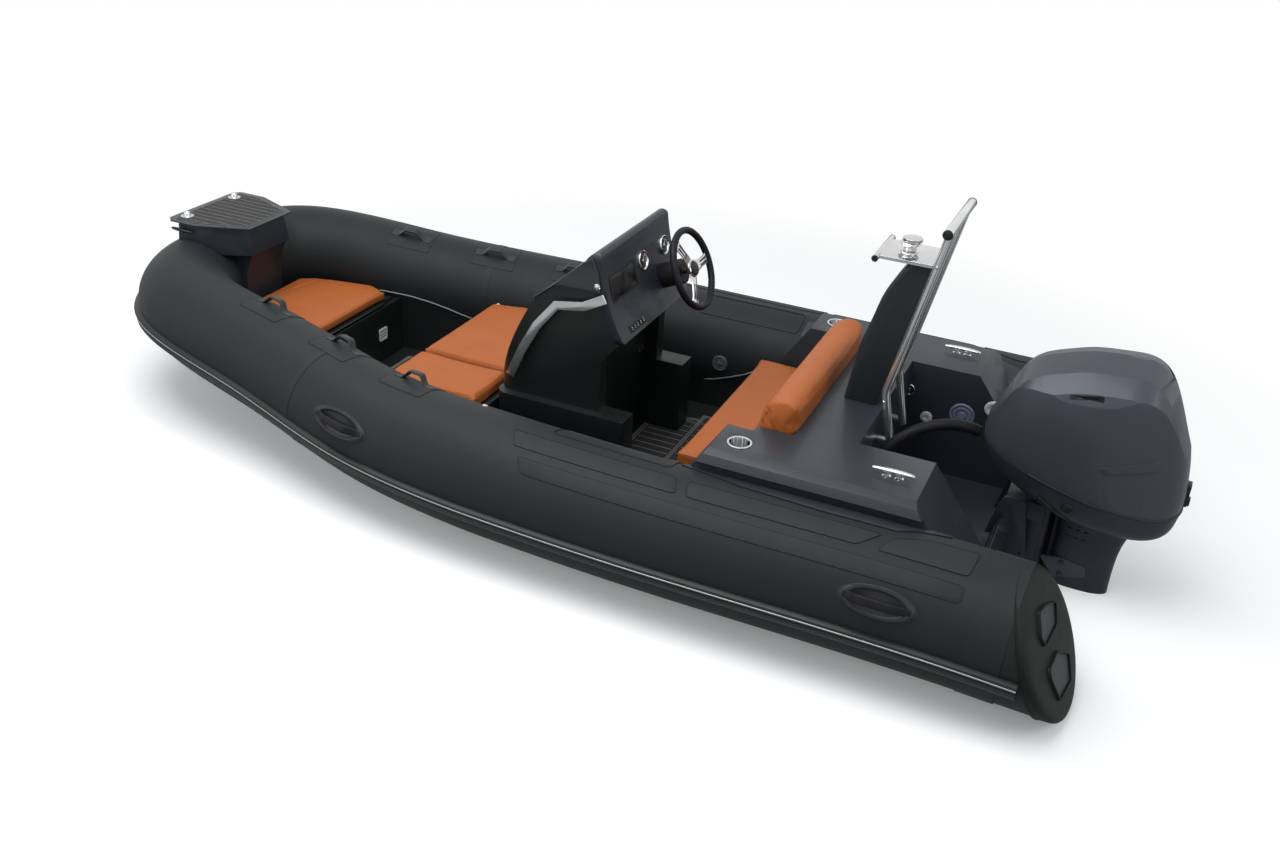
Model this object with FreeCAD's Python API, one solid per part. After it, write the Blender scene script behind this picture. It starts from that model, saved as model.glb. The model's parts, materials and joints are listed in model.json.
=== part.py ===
import FreeCAD, Part
import math
import os

# Inflatable boat with a rigid V hull, a helm console, three cushioned seats,
# a tow mast and one outboard engine.  Millimetres.
# Frame: +X to the bow, +Y to port, +Z up.
# Origin: on the waterline, on the centreline, at the top aft edge of the transom.

V = FreeCAD.Vector
os.makedirs("parts", exist_ok=True)

# Fits shared by all pieces
seat_gap = 0.3          # between curved or soft pieces that rest on each other
pin_gap = 0.3           # round a hinge pin
run_gap = 6.0           # round what swings
overrun = 20.0          # how far a cutter passes the face that it cuts
skin = 10.0             # thickness of a moulded wall

# Tubes
tube_start_x = -200.0   # aft end of the straight run
tube_run = 3995.0       # from there to the foremost point of the centreline
tube_spread = 819.0     # centreline to the middle of the boat, at the stern
tube_stern_z = 260.0
tube_rise = 197.0       # from the stern to the bow
tube_stern_radius = 241.0
tube_bow_radius = 195.0
seam_x = -140.0         # where the moulded end cap begins
chamber_x = 2700.0      # where the side chambers meet the bow chamber
# Centreline of a tube, from the stern to the foremost point
path_x_shares = (0.0, 0.163, 0.326, 0.488, 0.648, 0.804, 0.958, 1.0)
path_y_shares = (1.0, 0.985, 0.988, 0.969, 0.900, 0.724, 0.523, 0.0)
path_z_shares = (0.0, 0.041, 0.036, 0.066, 0.198, 0.553, 0.934, 1.0)
taper_start_share = 0.45

# End caps
cap_tail_x = -300.0
cap_lip = 6.0
cap_face_radius = 170.0
panel_depth = 12.0
panel_width = 120.0
panel_height = 80.0
panel_pitch = 100.0
panel_shares = ((-0.5, -1.0), (0.5, -1.0), (0.5, 0.3), (0.12, 1.0), (-0.5, 0.72))

# Rubbing strake
strake_drop_angle = 9.7         # degrees below level, seen from the tube's centre
strake_height = 62.0
strake_depth = 24.0

# Hull
hull_run = 3700.0
keel_depth = 250.0
chine_half = 640.0
gunwale_half = 700.0
hull_top = 330.0
transom_height = 268.0
transom_thickness = 45.0
transom_rake = 12.0             # degrees
hull_x_shares = (0.0, 0.27, 0.54, 0.73, 0.86, 0.955, 1.0)
keel_z_shares = (-1.0, -1.0, -0.96, -0.76, -0.36, 0.24, 0.76)
chine_y_shares = (1.0, 1.0, 0.977, 0.875, 0.703, 0.39, 0.08)
chine_z_shares = (-0.08, -0.08, -0.04, 0.06, 0.32, 0.76, 1.0)
gunwale_y_shares = (1.0, 1.0, 0.986, 0.864, 0.686, 0.471, 0.143)
spray_width = 30.0              # each spray rail under the hull
spray_shares = (0.42, 0.74)      # of the way from keel to chine

# Cockpit
floor_z = 50.0
cockpit_fore_x = 3060.0
wall_seat_share = 0.94          # of the tube radius, from its centreline to the cockpit wall
tread_thickness = 6.0
tread_groove = 5.0
tread_pitch = 62.0
tread_margin = 45.0

# Bow locker and cushion
locker_fore_x = 3440.0
locker_half = 250.0
locker_depth = 190.0
bow_deck_z = 330.0
bow_cushion_fore_x = 3550.0
bow_cushion_thickness = 50.0
lid_thickness = 12.0
hinge_radius = 4.5
hinge_setback = 2.0             # of the bow hinge from the cockpit wall
bow_cushion_half = 360.0        # before the tubes narrow it
bow_aft_half = 285.0
bow_corner_run = 170.0

# Bow step
step_aft_x = 3515.0
step_mid_x = 3700.0
step_fore_x = 3865.0
step_half = 215.0
step_aft_half = 120.0
step_top_z = 740.0
step_low_z = 600.0
step_tread_inset = 26.0

# Console
console_half = 320.0
console_foot_half = 360.0
console_foot_z = 380.0
console_fore_x = 2100.0
console_foot_aft_x = 1515.0
console_knee_x = 1700.0
console_aft_x = 1640.0           # the aft face under the dash
console_waist_z = 600.0
console_corner = 55.0            # rounding of the fore corners in plan
dash_low_x = 1543.0              # the lower edge of the dash
dash_low_z = 700.0
dash_reach = 180.0               # from there forward to the front of the hood
dash_rise = 350.0
dash_corner = 34.0
dash_face_shares = ((0.63, 0.96), (0.5, 0.61), (0.3, 0.3), (0.0, 0.0))
dash_hood_shares = ((0.63, 0.96), (0.72, 1.0), (0.83, 0.98), (1.0, 0.857))
dash_back_shares = ((0.69, 0.586), (0.48, 0.257), (0.16, -0.04))
console_front_shares = ((0.358, 0.803), (0.57, 0.697), (0.745, 0.5), (0.926, 0.213), (1.0, 0.0))
screen_thickness = 6.0
wing_shares = ((0.594, 0.563), (0.64, 0.757), (0.817, 0.943))

# Steering
wheel_radius = 175.0
wheel_rim = 15.0
wheel_x = 1470.0
wheel_y = -175.0
wheel_z = 868.0
wheel_tilt = 24.0               # degrees, the wheel's shaft above level
hub_radius = 52.0
hub_length = 70.0

# Front seat
front_seat_aft_x = 2110.0
front_seat_fore_x = 2560.0
front_seat_half = 478.0
front_seat_top = 323.0
front_cushion_thickness = 62.0
front_split_y = 175.0

# Aft seat
aft_seat_fore_x = 1200.0
aft_seat_back_x = 930.0
aft_seat_half = 500.0
aft_seat_top = 330.0
aft_cushion_thickness = 68.0
aft_cushion_nose = 40.0
backrest_half = 450.0
backrest_step_z = 480.0
backrest_top_z = 690.0
backrest_aft_x = 790.0
backrest_depth = 160.0
backrest_face_shares = ((0.0, 0.92), (0.16, 1.0), (0.6, 0.95), (0.86, 0.6), (1.0, 0.12))
well_fore_x = 560.0
well_half = 400.0
well_floor_z = 100.0
deck_z = 578.0
deck_fore_x = 1030.0
deck_aft_x = 280.0
deck_half = 690.0                # the flat top, to where its edge rolls over
deck_lip_half = 742.0
deck_lip_drop = 43.0
deck_undercut = 22.0             # the shadow gap under the lip
flange_thickness = 5.0           # the moulding's skirt, laid over the tube
flange_aft_x = 140.0
flange_run = 970.0
flange_root_y = 600.0
flange_reach = 203.0
flange_x_shares = (0.0, 0.093, 0.175, 0.443, 0.753, 1.0)
flange_y_shares = (0.616, 0.754, 0.985, 1.0, 0.916, 0.655)
cup_x = 943.0
cup_y = 612.0
cup_radius = 38.0
cup_depth = 80.0
cup_rim = 8.0

# Mast
mast_half = 100.0
mast_tube_radius = 16.0
mast_foot_x = 505.0
mast_foot_z = 440.0
mast_kink_x = 553.0
mast_kink_z = 658.0
mast_top_x = 411.0
mast_top_z = 1338.0
mast_bar_half = 206.0
mast_bar_radius = 18.0
fin_half = 75.0
fin_foot_x = 717.0               # fore edge at the deck
fin_reach = 173.0                # how far that edge leans aft at its head
fin_head_z = 1170.0
fin_edge_shares = ((0.0, 0.0), (0.1, 0.24), (0.2, 0.42), (0.36, 0.58), (0.52, 0.75), (0.75, 0.89), (1.0, 1.0))
fin_corner = 18.0
shelf_fore_x = 665.0
shelf_z = 1175.0
shelf_thickness = 12.0
shelf_half = 125.0

# Engine
tilt_x = 20.0
tilt_z = 318.0
tilt_pin_radius = 16.0
steer_x = -100.0
steer_pin_radius = 18.0
swivel_radius = 38.0
clamp_inner_y = 90.0
clamp_thickness = 18.0
swivel_half = 84.0
plate_z = -265.0                # the anti-ventilation plate
shaft_z = -445.0
skeg_z = -660.0
prop_radius = 165.0
prop_x = -575.0
prop_hub_radius = 45.0
prop_hub_length = 110.0
prop_blades = 3
cowl_top_z = 965.0
cowl_low_z = 300.0
cowl_fore_x = 175.0
cowl_aft_x = -552.0
cowl_half = 205.0
cowl_tail_power = 0.66           # squareness of its plan outline: 1 is an ellipse
cowl_nose_power = 0.94
cowl_z_shares = (0.0, 0.068, 0.15, 0.3, 0.51, 0.75, 0.9, 1.0)
cowl_aft_shares = (0.209, 0.044, 0.008, 0.0, 0.028, 0.09, 0.13, 0.165)
cowl_fore_shares = (0.553, 0.629, 0.814, 0.985, 1.0, 0.96, 0.92, 0.88)
cowl_half_shares = (0.5, 0.86, 1.0, 1.04, 1.05, 1.02, 0.95, 0.88)
roof_shares = (
    (-0.06, 0.4), (0.07, 0.638), (0.155, 0.846), (0.225, 0.955), (0.27, 0.988), (0.43, 1.0),
    (0.586, 0.979), (0.689, 0.944), (0.84, 0.863), (0.917, 0.729), (1.04, 0.45),
)
shoulder_shares = ((0.0, 1.0), (0.6, 0.95), (0.92, 0.87), (1.2, 0.66))
intake_half = 122.0
intake_depth = 95.0
intake_z_shares = (0.845, 0.925)
side_slot_length = 119.0
side_slot_height = 20.0
side_slot_place_share = (0.637, 0.829)
seam_shares = (
    (1.03, 0.392), (0.86, 0.35), (0.711, 0.313), (0.578, 0.281), (0.429, 0.244), (0.294, 0.226),
    (0.166, 0.216), (-0.03, 0.216),
)
leg_top_z = 335.0
leg_low_z = -430.0
leg_reach = 345.0                # aft of the steering axis
leg_half = 80.0
leg_power = 0.8
leg_z_shares = (1.0, 0.889, 0.693, 0.484, 0.327, 0.22, 0.065, 0.0)
leg_aft_shares = (0.957, 0.884, 0.826, 0.841, 0.899, 0.957, 0.986, 1.0)
leg_fore_shares = (0.145, 0.151, 0.151, 0.188, 0.261, 0.304, 0.377, 0.391)
leg_half_shares = (1.0, 0.85, 0.7, 0.55, 0.4, 0.325, 0.25, 0.3)
plate_fore_x = -250.0
plate_run = 295.0
plate_half = 110.0
plate_shares = ((0.0, 0.18), (0.17, 0.64), (0.51, 1.0), (0.915, 0.955), (1.0, 0.545))
gear_nose_x = -290.0
gear_stretch = 2.4
skeg_fore_x = -270.0
skeg_run = 200.0
skeg_shares = ((0.0, 0.0), (0.85, 0.0), (1.0, 1.0), (0.65, 1.0), (0.25, 0.42))
blade_widths = (70.0, 124.0, 100.0, 56.0)
blade_thicknesses = (9.0, 7.0, 5.0, 4.0)
blade_radius_shares = (0.2, 0.55, 0.82, 0.98)
blade_turns = (48, 58, 64, 68)   # degrees from the shaft
shaft_radius = 12.0
clamp_hole_radius = 5.0
clamp_hole_pitch = 26.0
clamp_hole_count = 4


def block(x0, x1, y0, y1, z0, z1):
    """A block between two corners."""
    return Part.makeBox(x1 - x0, y1 - y0, z1 - z0, V(x0, y0, z0))


def mirrored(shape):
    """The same piece on the other side of the boat."""
    return shape.mirror(V(0, 0, 0), V(0, 1, 0))


def both(shape):
    return Part.makeCompound([shape, mirrored(shape)])


def joined(shapes):
    whole = shapes[0]
    for other in shapes[1:]:
        whole = whole.fuse(other)
    return whole.removeSplitter()


def side_prism(points, y0, y1):
    """A side profile of (x, z) points, as wide as from y0 to y1."""
    wire = Part.makePolygon([V(x, y0, z) for x, z in points + [points[0]]])
    return Part.Face(wire).extrude(V(0, y1 - y0, 0))


def plan_prism(points, z0, z1):
    """A plan outline of (x, y) points, as high as from z0 to z1."""
    wire = Part.makePolygon([V(x, y, z0) for x, y in points + [points[0]]])
    return Part.Face(wire).extrude(V(0, 0, z1 - z0))


def side_shape(runs, y0, y1):
    """A side profile extruded across: runs of two points are straight, longer ones are smooth."""
    edges = []
    for run in runs:
        points = [V(x, y0, z) for x, z in run]
        if len(points) == 2:
            edges.append(Part.LineSegment(points[0], points[1]).toShape())
        else:
            curve = Part.BSplineCurve()
            curve.interpolate(points)
            edges.append(curve.toShape())
    return Part.Face(Part.Wire(Part.__sortEdges__(edges))).extrude(V(0, y1 - y0, 0))


def straight_runs(points):
    """The straight stretches between points, for side_shape."""
    return [[a, b] for a, b in zip(points, points[1:])]


def rounded_along(shape, direction, radius, keep):
    """Rounds the straight edges along a direction whose middles pass a test."""
    edges = []
    for edge in shape.Edges:
        run = edge.tangentAt(edge.FirstParameter)
        if abs(run.dot(direction)) > 0.999 and keep(edge.CenterOfMass):
            edges.append(edge)
    return shape.makeFillet(radius, edges)


def section_prism(points, x0, x1):
    """A cross-section of (y, z) points, as long as from x0 to x1."""
    wire = Part.makePolygon([V(x0, y, z) for y, z in points + [points[0]]])
    return Part.Face(wire).extrude(V(x1 - x0, 0, 0))


def rod(start, end, radius):
    axis = end - start
    return Part.makeCylinder(radius, axis.Length, start, axis)


def bent_rod(points, radius, bend):
    """A rod through the points, with its corners rounded by arcs."""
    edges = []
    start = points[0]
    for before, corner, after in zip(points, points[1:], points[2:]):
        back = (before - corner).normalize()
        ahead = (after - corner).normalize()
        half = back.getAngle(ahead) / 2
        reach = bend / math.tan(half)
        middle = (back + ahead).normalize()
        first = corner + back * reach
        last = corner + ahead * reach
        crest = corner + middle * (bend / math.sin(half) - bend)
        edges.append(Part.LineSegment(start, first).toShape())
        edges.append(Part.Arc(first, crest, last).toShape())
        start = last
    edges.append(Part.LineSegment(start, points[-1]).toShape())
    path = Part.Wire(edges)
    ring = Part.Wire(Part.Circle(points[0], points[1] - points[0], radius).toShape())
    return path.makePipeShell([ring], True, False)


def save(shape, name):
    shape.exportStep("parts/" + name + ".step")


# The tube's centreline
port_path = [
    V(tube_start_x + tube_run * sx, tube_spread * sy, tube_stern_z + tube_rise * sz)
    for sx, sy, sz in zip(path_x_shares, path_y_shares, path_z_shares)
]
whole_path = port_path + [V(p.x, -p.y, p.z) for p in reversed(port_path[:-1])]
bow_index = len(port_path) - 1
centreline = Part.BSplineCurve()
centreline.interpolate(Points=whole_path, Parameters=[float(i) for i in range(len(whole_path))])


def tube_frame(t):
    """Centre, direction, outward side and radius of the tube at a place on its path."""
    centre = centreline.value(t)
    along = centreline.tangent(t)[0]
    side = along.cross(V(0, 0, 1)).normalize() * -1
    if side.y < 0 and t < bow_index:
        side = side * -1
    up = side.cross(along).normalize()
    if up.z < 0:
        up = up * -1
    taper = max(0, t / bow_index - taper_start_share) / (1 - taper_start_share)
    radius = tube_stern_radius + (tube_bow_radius - tube_stern_radius) * taper
    return centre, side, up, radius


def path_at(x):
    """The place on the port path that has this x."""
    low, high = 0.0, float(bow_index)
    for step in range(40):
        middle = (low + high) / 2
        if centreline.value(middle).x < x:
            low = middle
        else:
            high = middle
    return (low + high) / 2


def tube_places(start, end, count):
    return [start + (end - start) * i / (count - 1) for i in range(count)]


def tube_ring(t, grow):
    centre, side, up, radius = tube_frame(t)
    r = radius + grow
    upper = Part.Arc(centre + side * r, centre + up * r, centre - side * r).toShape()
    lower = Part.Arc(centre - side * r, centre - up * r, centre + side * r).toShape()
    return Part.Wire([upper, lower])


def half_tube(start, grow, count=17):
    """The port half of the tube, from a place on its path to the middle of the bow."""
    return Part.makeLoft([tube_ring(t, grow) for t in tube_places(start, bow_index, count)], True)


seam_place = path_at(seam_x)
port_half_tube = half_tube(seam_place, 0)
port_half_cutter = half_tube(seam_place, seat_gap)


def less_tube(shape):
    return shape.cut(port_half_cutter).cut(mirrored(port_half_cutter))


far = tube_run * 2


def side_chamber():
    aft = block(-far, chamber_x, 0, far, -far, far)
    return port_half_tube.common(aft)


def bow_chamber():
    fore = block(chamber_x, far, -far, far, -far, far)
    half = port_half_tube.common(fore)
    return joined([half, mirrored(half)])


def end_cap():
    """The moulded cap on the aft end of a port tube, turned about the tube's axis."""
    centre = centreline.value(seam_place)
    lip = tube_stern_radius + cap_lip
    length = seam_x - cap_tail_x
    shoulder = length * 0.45
    edges = [
        Part.LineSegment(V(0, 0, 0), V(0, 0, lip)).toShape(),
        Part.LineSegment(V(0, 0, lip), V(-shoulder, 0, lip)).toShape(),
        Part.Arc(
            V(-shoulder, 0, lip),
            V(-length * 0.82, 0, (lip + cap_face_radius) / 2 + cap_lip * 3),
            V(-length, 0, cap_face_radius),
        ).toShape(),
        Part.LineSegment(V(-length, 0, cap_face_radius), V(-length, 0, 0)).toShape(),
        Part.LineSegment(V(-length, 0, 0), V(0, 0, 0)).toShape(),
    ]
    body = Part.Face(Part.Wire(edges)).revolve(V(0, 0, 0), V(1, 0, 0), 360)
    for level in (-1, 1):
        outline = [
            (y * panel_width, level * (panel_pitch + z * panel_height) / 2) for y, z in panel_shares
        ]
        body = body.cut(section_prism(outline, -length - overrun, -length + panel_depth))
    along = centreline.tangent(seam_place)[0]
    body.Placement = FreeCAD.Placement(
        centre - along * seat_gap, FreeCAD.Rotation(V(1, 0, 0), along),
    )
    return body


def strake_ring(t):
    centre, side, up, radius = tube_frame(t)
    base = radius - seat_gap * 4
    spread = math.atan(strake_height / 2 / base)
    middle = -math.radians(strake_drop_angle)
    root = base / math.cos(spread)
    crown = root + strake_depth
    places = [
        (root, -1.0), (crown * 0.985, -0.72), (crown, -0.2),
        (crown, 0.2), (crown * 0.985, 0.72), (root, 1.0),
    ]
    points = []
    for r, share in places:
        angle = middle + spread * share
        points.append(centre + side * (r * math.cos(angle)) + up * (r * math.sin(angle)))
    return Part.makePolygon(points + [points[0]])


def rubbing_strake():
    half = Part.makeLoft([strake_ring(t) for t in tube_places(seam_place, bow_index, 17)], True)
    return less_tube(joined([half, mirrored(half)]))


def hull_ring(i):
    x = hull_run * hull_x_shares[i]
    keel = keel_depth * keel_z_shares[i]
    chine_y = chine_half * chine_y_shares[i]
    chine_z = keel_depth * chine_z_shares[i]
    gunwale_y = gunwale_half * gunwale_y_shares[i]
    port = [V(x, chine_y, chine_z), V(x, gunwale_y, hull_top)]
    starboard = [V(p.x, -p.y, p.z) for p in reversed(port)]
    points = [V(x, 0, keel)] + port + starboard
    return Part.makePolygon(points + [points[0]])


def hull_envelope():
    return Part.makeLoft([hull_ring(i) for i in range(len(hull_x_shares))], True)


def spray_ring(i, share):
    """A flat-bottomed wedge on the planing face, with its upper side inside the hull."""
    x = hull_run * hull_x_shares[i]
    keel = V(x, 0, keel_depth * keel_z_shares[i])
    chine = V(x, chine_half * chine_y_shares[i], keel_depth * chine_z_shares[i])
    inner = keel + (chine - keel) * share
    outer = inner + (chine - keel).normalize() * spray_width
    low = V(x, outer.y, inner.z)
    into = V(0, 0, skin / 2)
    points = [inner + into, outer + into, outer, low, inner]
    return Part.makePolygon(points + [points[0]])


def spray_rails():
    """Two rails a side, which run out where the stem sharpens."""
    rails = []
    for share in spray_shares:
        rails.append(Part.makeLoft([spray_ring(i, share) for i in range(5)], True, True))
    return joined([both(rail) for rail in rails])


def wall_point(t, inset):
    """A point inboard of the tube's centre: inset is a share of the radius, plus a length."""
    share, extra = inset
    centre, side, up, radius = tube_frame(t)
    return centre - side * (radius * share + extra)


def wall_at(x, inset):
    """The wall point that has this x."""
    low, high = 0.0, float(bow_index)
    for step in range(40):
        middle = (low + high) / 2
        if wall_point(middle, inset).x < x:
            low = middle
        else:
            high = middle
    return wall_point(high, inset)


def wall_line(inset, x0, x1, count=9):
    """Plan points of the port cockpit wall."""
    return [wall_at(x, inset) for x in tube_places(x0, x1, count)]


def plan_solid(inset, x0, x1, z0, z1):
    """A solid between the cockpit walls, from x0 to x1."""
    points = [V(p.x, p.y, z0) for p in wall_line(inset, x0, x1)]
    curve = Part.BSplineCurve()
    curve.interpolate(points)
    port = curve.toShape()
    starboard = mirrored(port)
    fore = Part.LineSegment(points[-1], V(points[-1].x, -points[-1].y, z0)).toShape()
    aft = Part.LineSegment(V(points[0].x, -points[0].y, z0), points[0]).toShape()
    outline = Part.Wire(Part.__sortEdges__([port, fore, starboard, aft]))
    return Part.Face(outline).extrude(V(0, 0, z1 - z0))


rake_slope = math.tan(math.radians(transom_rake))


def raked_slab(x_top, depth, half, z0, z1):
    """A slab across the stern, parallel to the raked transom, with its aft face at x_top."""
    def aft_at(z):
        return x_top + (transom_height - z) * rake_slope
    points = [
        (aft_at(z1), z1), (aft_at(z1) + depth, z1),
        (aft_at(z0) + depth, z0), (aft_at(z0), z0),
    ]
    return side_prism(points, -half, half)


def transom_inner_x(z):
    """The transom's fore face, parallel to its raked aft face."""
    return transom_thickness + (transom_height - z) * rake_slope


def hull():
    body = joined([hull_envelope(), spray_rails()])
    body = body.cut(raked_slab(transom_thickness - far, far, far, -far, far))
    floor_bottom = floor_z - skin
    cockpit = plan_solid(
        (wall_seat_share, -skin - seat_gap), well_fore_x, cockpit_fore_x,
        floor_bottom, far,
    )
    well = side_prism(
        [
            (transom_inner_x(well_floor_z - skin), well_floor_z - skin),
            (well_fore_x, well_floor_z - skin), (well_fore_x, far), (transom_inner_x(far), far),
        ],
        -far, far,
    )
    above = block(
        cockpit_fore_x, far, -far, far, bow_deck_z - lid_thickness - skin, far,
    )
    locker = block(
        cockpit_fore_x, locker_fore_x, -locker_half, locker_half,
        bow_deck_z - locker_depth - skin, far,
    )
    top = block(-far, well_fore_x, -far, far, transom_height, far)
    body = body.cut(cockpit).cut(well).cut(above).cut(locker).cut(top)
    return less_tube(body)


def transom():
    """The raked transom, as wide as the hull and level at its top."""
    slab = hull_envelope().common(raked_slab(0, transom_thickness, far, -far, far))
    return less_tube(slab.cut(block(-far, far, -far, far, transom_height, far)))


def deck_liner():
    outer = plan_solid(
        (wall_seat_share, -skin), well_fore_x, cockpit_fore_x - seat_gap,
        floor_z - skin + seat_gap, bow_deck_z - skin,
    )
    inner = plan_solid(
        (wall_seat_share, 0), well_fore_x - overrun, cockpit_fore_x - skin,
        floor_z, far,
    )
    return less_tube(outer.cut(inner))


def grooved(panel, pitch, groove, half, x0, x1, top):
    """A panel with fore-and-aft grooves between its planks."""
    count = int(half / pitch)
    for i in range(-count, count + 1):
        y = i * pitch
        panel = panel.cut(block(
            x0, x1, y - groove / 2, y + groove / 2, top - tread_thickness / 2, far,
        ))
    return panel


def floor_tread():
    """Planked panels on the cockpit floor, aft of the console and forward of the front seat."""
    top = floor_z + tread_thickness
    aft = block(
        aft_seat_fore_x + tread_margin, console_foot_aft_x - tread_margin,
        -aft_seat_half + tread_margin, aft_seat_half - tread_margin, floor_z, top,
    )
    fore = plan_prism(
        mirror_outline([
            (cockpit_fore_x - tread_margin * 2, locker_half + tread_margin),
            (front_seat_fore_x + tread_margin, front_seat_half - tread_margin * 2),
        ]),
        floor_z, top,
    )
    panels = [
        grooved(panel, tread_pitch, tread_groove, aft_seat_half - tread_margin * 2, x0, x1, top)
        for panel, x0, x1 in (
            (aft, aft.BoundBox.XMin + tread_margin / 2, aft.BoundBox.XMax - tread_margin / 2),
            (fore, fore.BoundBox.XMin + tread_margin / 2, fore.BoundBox.XMax - tread_margin / 2),
        )
    ]
    return Part.makeCompound(panels)


def bow_locker():
    """Bow deck moulding with the locker's well hanging under it."""
    top = bow_deck_z
    low = top - lid_thickness
    deck = plan_solid(
        (wall_seat_share, 0), cockpit_fore_x, bow_cushion_fore_x + skin * 2,
        low - skin + seat_gap, low,
    )
    well = block(
        cockpit_fore_x + seat_gap, locker_fore_x - seat_gap,
        -locker_half + seat_gap, locker_half - seat_gap,
        top - locker_depth, low,
    )
    inside = block(
        cockpit_fore_x + skin, locker_fore_x - skin,
        -locker_half + skin, locker_half - skin,
        top - locker_depth + skin, far,
    )
    return less_tube(joined([deck, well]).cut(inside))


def bow_plan(inset, z0, z1):
    """Plan of the bow cushion and of the lid under it."""
    return plan_solid((1.0, inset), cockpit_fore_x + inset, bow_cushion_fore_x - inset, z0, z1)


def hinge_barrel(x, z, half):
    """The round knuckle of a lid's hinge, right across the lid."""
    return rod(V(x, -half, z), V(x, half, z), hinge_radius)


bow_hinge_x = cockpit_fore_x + hinge_setback


def bow_lid():
    """Lid of the bow locker, with a tab that reaches its hinge at the aft edge."""
    plate = bow_plan(skin * 2, bow_deck_z - lid_thickness + seat_gap, bow_deck_z)
    half = locker_half
    tab = block(
        bow_hinge_x, cockpit_fore_x + skin * 3, -half, half, bow_deck_z - hinge_radius, bow_deck_z,
    )
    return joined([plate, tab, hinge_barrel(bow_hinge_x, bow_deck_z, half)])


def bow_cushion():
    """Cushion between the tubes, with its aft corners cut off."""
    base = bow_deck_z + seat_gap
    whole = bow_plan(skin, base, base + bow_cushion_thickness)
    corners = plan_prism(
        mirror_outline([
            (bow_cushion_fore_x, far), (cockpit_fore_x + bow_corner_run, far),
            (cockpit_fore_x + bow_corner_run, bow_cushion_half), (cockpit_fore_x, bow_aft_half),
        ]),
        -far, far,
    )
    return whole.common(corners)


step_outline = [
    (step_fore_x, step_half * 0.86), (step_fore_x - step_half * 0.14, step_half),
    (step_mid_x, step_half), (step_aft_x, step_aft_half),
]


def mirror_outline(points):
    return points + [(x, -y) for x, y in reversed(points)]


def grown_outline(points, grow):
    """A rounded stand-in for an offset: each point moves from the outline's middle."""
    middle = (step_fore_x + step_aft_x) / 2
    return [
        (x + math.copysign(grow, x - middle), y + math.copysign(grow, y)) for x, y in points
    ]


def bow_step():
    """Moulded step on the bow, with a recess for its tread and a foot on the bow deck."""
    outline = mirror_outline(step_outline)
    lower = Part.makePolygon([
        V(x, y, step_low_z) for x, y in grown_outline(outline, skin) + [grown_outline(outline, skin)[0]]
    ])
    upper = Part.makePolygon([V(x, y, step_top_z) for x, y in outline + [outline[0]]])
    slab = Part.makeLoft([lower, upper], True, True)
    foot = side_prism(
        [
            (step_aft_x, step_low_z), (step_fore_x, step_low_z),
            (step_fore_x, tube_stern_z + tube_rise),
            (bow_cushion_fore_x + skin, bow_deck_z - lid_thickness),
            (step_aft_x + skin * 4, bow_deck_z + skin * 18),
        ],
        -step_aft_half, step_aft_half,
    )
    recess = plan_prism(
        grown_outline(outline, -step_tread_inset), step_top_z - tread_thickness, far,
    )
    return less_tube(joined([slab, foot]).cut(recess))


def bow_step_tread():
    outline = mirror_outline(step_outline)
    plate = plan_prism(
        grown_outline(outline, -step_tread_inset - seat_gap),
        step_top_z - tread_thickness, step_top_z,
    )
    pitch = tread_pitch / 2
    count = int(step_half / pitch)
    for i in range(-count, count + 1):
        plate = plate.cut(block(
            step_aft_x + step_tread_inset * 2, step_fore_x - step_tread_inset * 2,
            i * pitch - tread_groove / 4, i * pitch + tread_groove / 4,
            step_top_z - tread_thickness / 2, far,
        ))
    return plate


light_radius = 19.0
light_height = 26.0


def bow_lights():
    """Two dome fittings on the step's fore corners."""
    dome = Part.makeCylinder(light_radius, light_height / 3)
    ball = Part.makeSphere(light_radius * 0.9, V(0, 0, light_height / 3), V(0, 0, 1), 0, 90, 360)
    body = joined([dome, ball])
    body.translate(V(step_fore_x - light_radius * 1.5, step_half * 0.74, step_top_z))
    return both(body)


cleat_length = 150.0
cleat_height = 34.0
cleat_radius = 7.0


def cleat(x, y, z, along):
    """A horned cleat on two feet."""
    half = along * (cleat_length / 2)
    top = V(x, y, z + cleat_height - cleat_radius)
    bar = rod(top - half, top + half, cleat_radius)
    feet = []
    for share in (-0.3, 0.3):
        place = V(x, y, z) + half * share
        feet.append(rod(place, place + V(0, 0, cleat_height - cleat_radius), cleat_radius * 0.9))
        feet.append(rod(place, place + V(0, 0, cleat_radius / 2), cleat_radius * 2))
    return joined([bar] + feet)


aft_cleat_x = 392.0
aft_cleat_y = 577.0


def aft_cleats():
    return both(cleat(aft_cleat_x, aft_cleat_y, deck_z, V(1, 0, 0)))


# Console
def dash_points(shares):
    return [(dash_low_x + dash_reach * sx, dash_low_z + dash_rise * sz) for sx, sz in shares]


dash_face = dash_points(dash_face_shares)
dash_hood = dash_points(dash_hood_shares)
dash_back = dash_points(dash_back_shares)
hood_front = dash_hood[-1]
console_front = [
    (
        hood_front[0] + (console_fore_x - hood_front[0]) * sx,
        console_foot_z + (hood_front[1] - console_foot_z) * sz,
    )
    for sx, sz in console_front_shares
]


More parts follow.
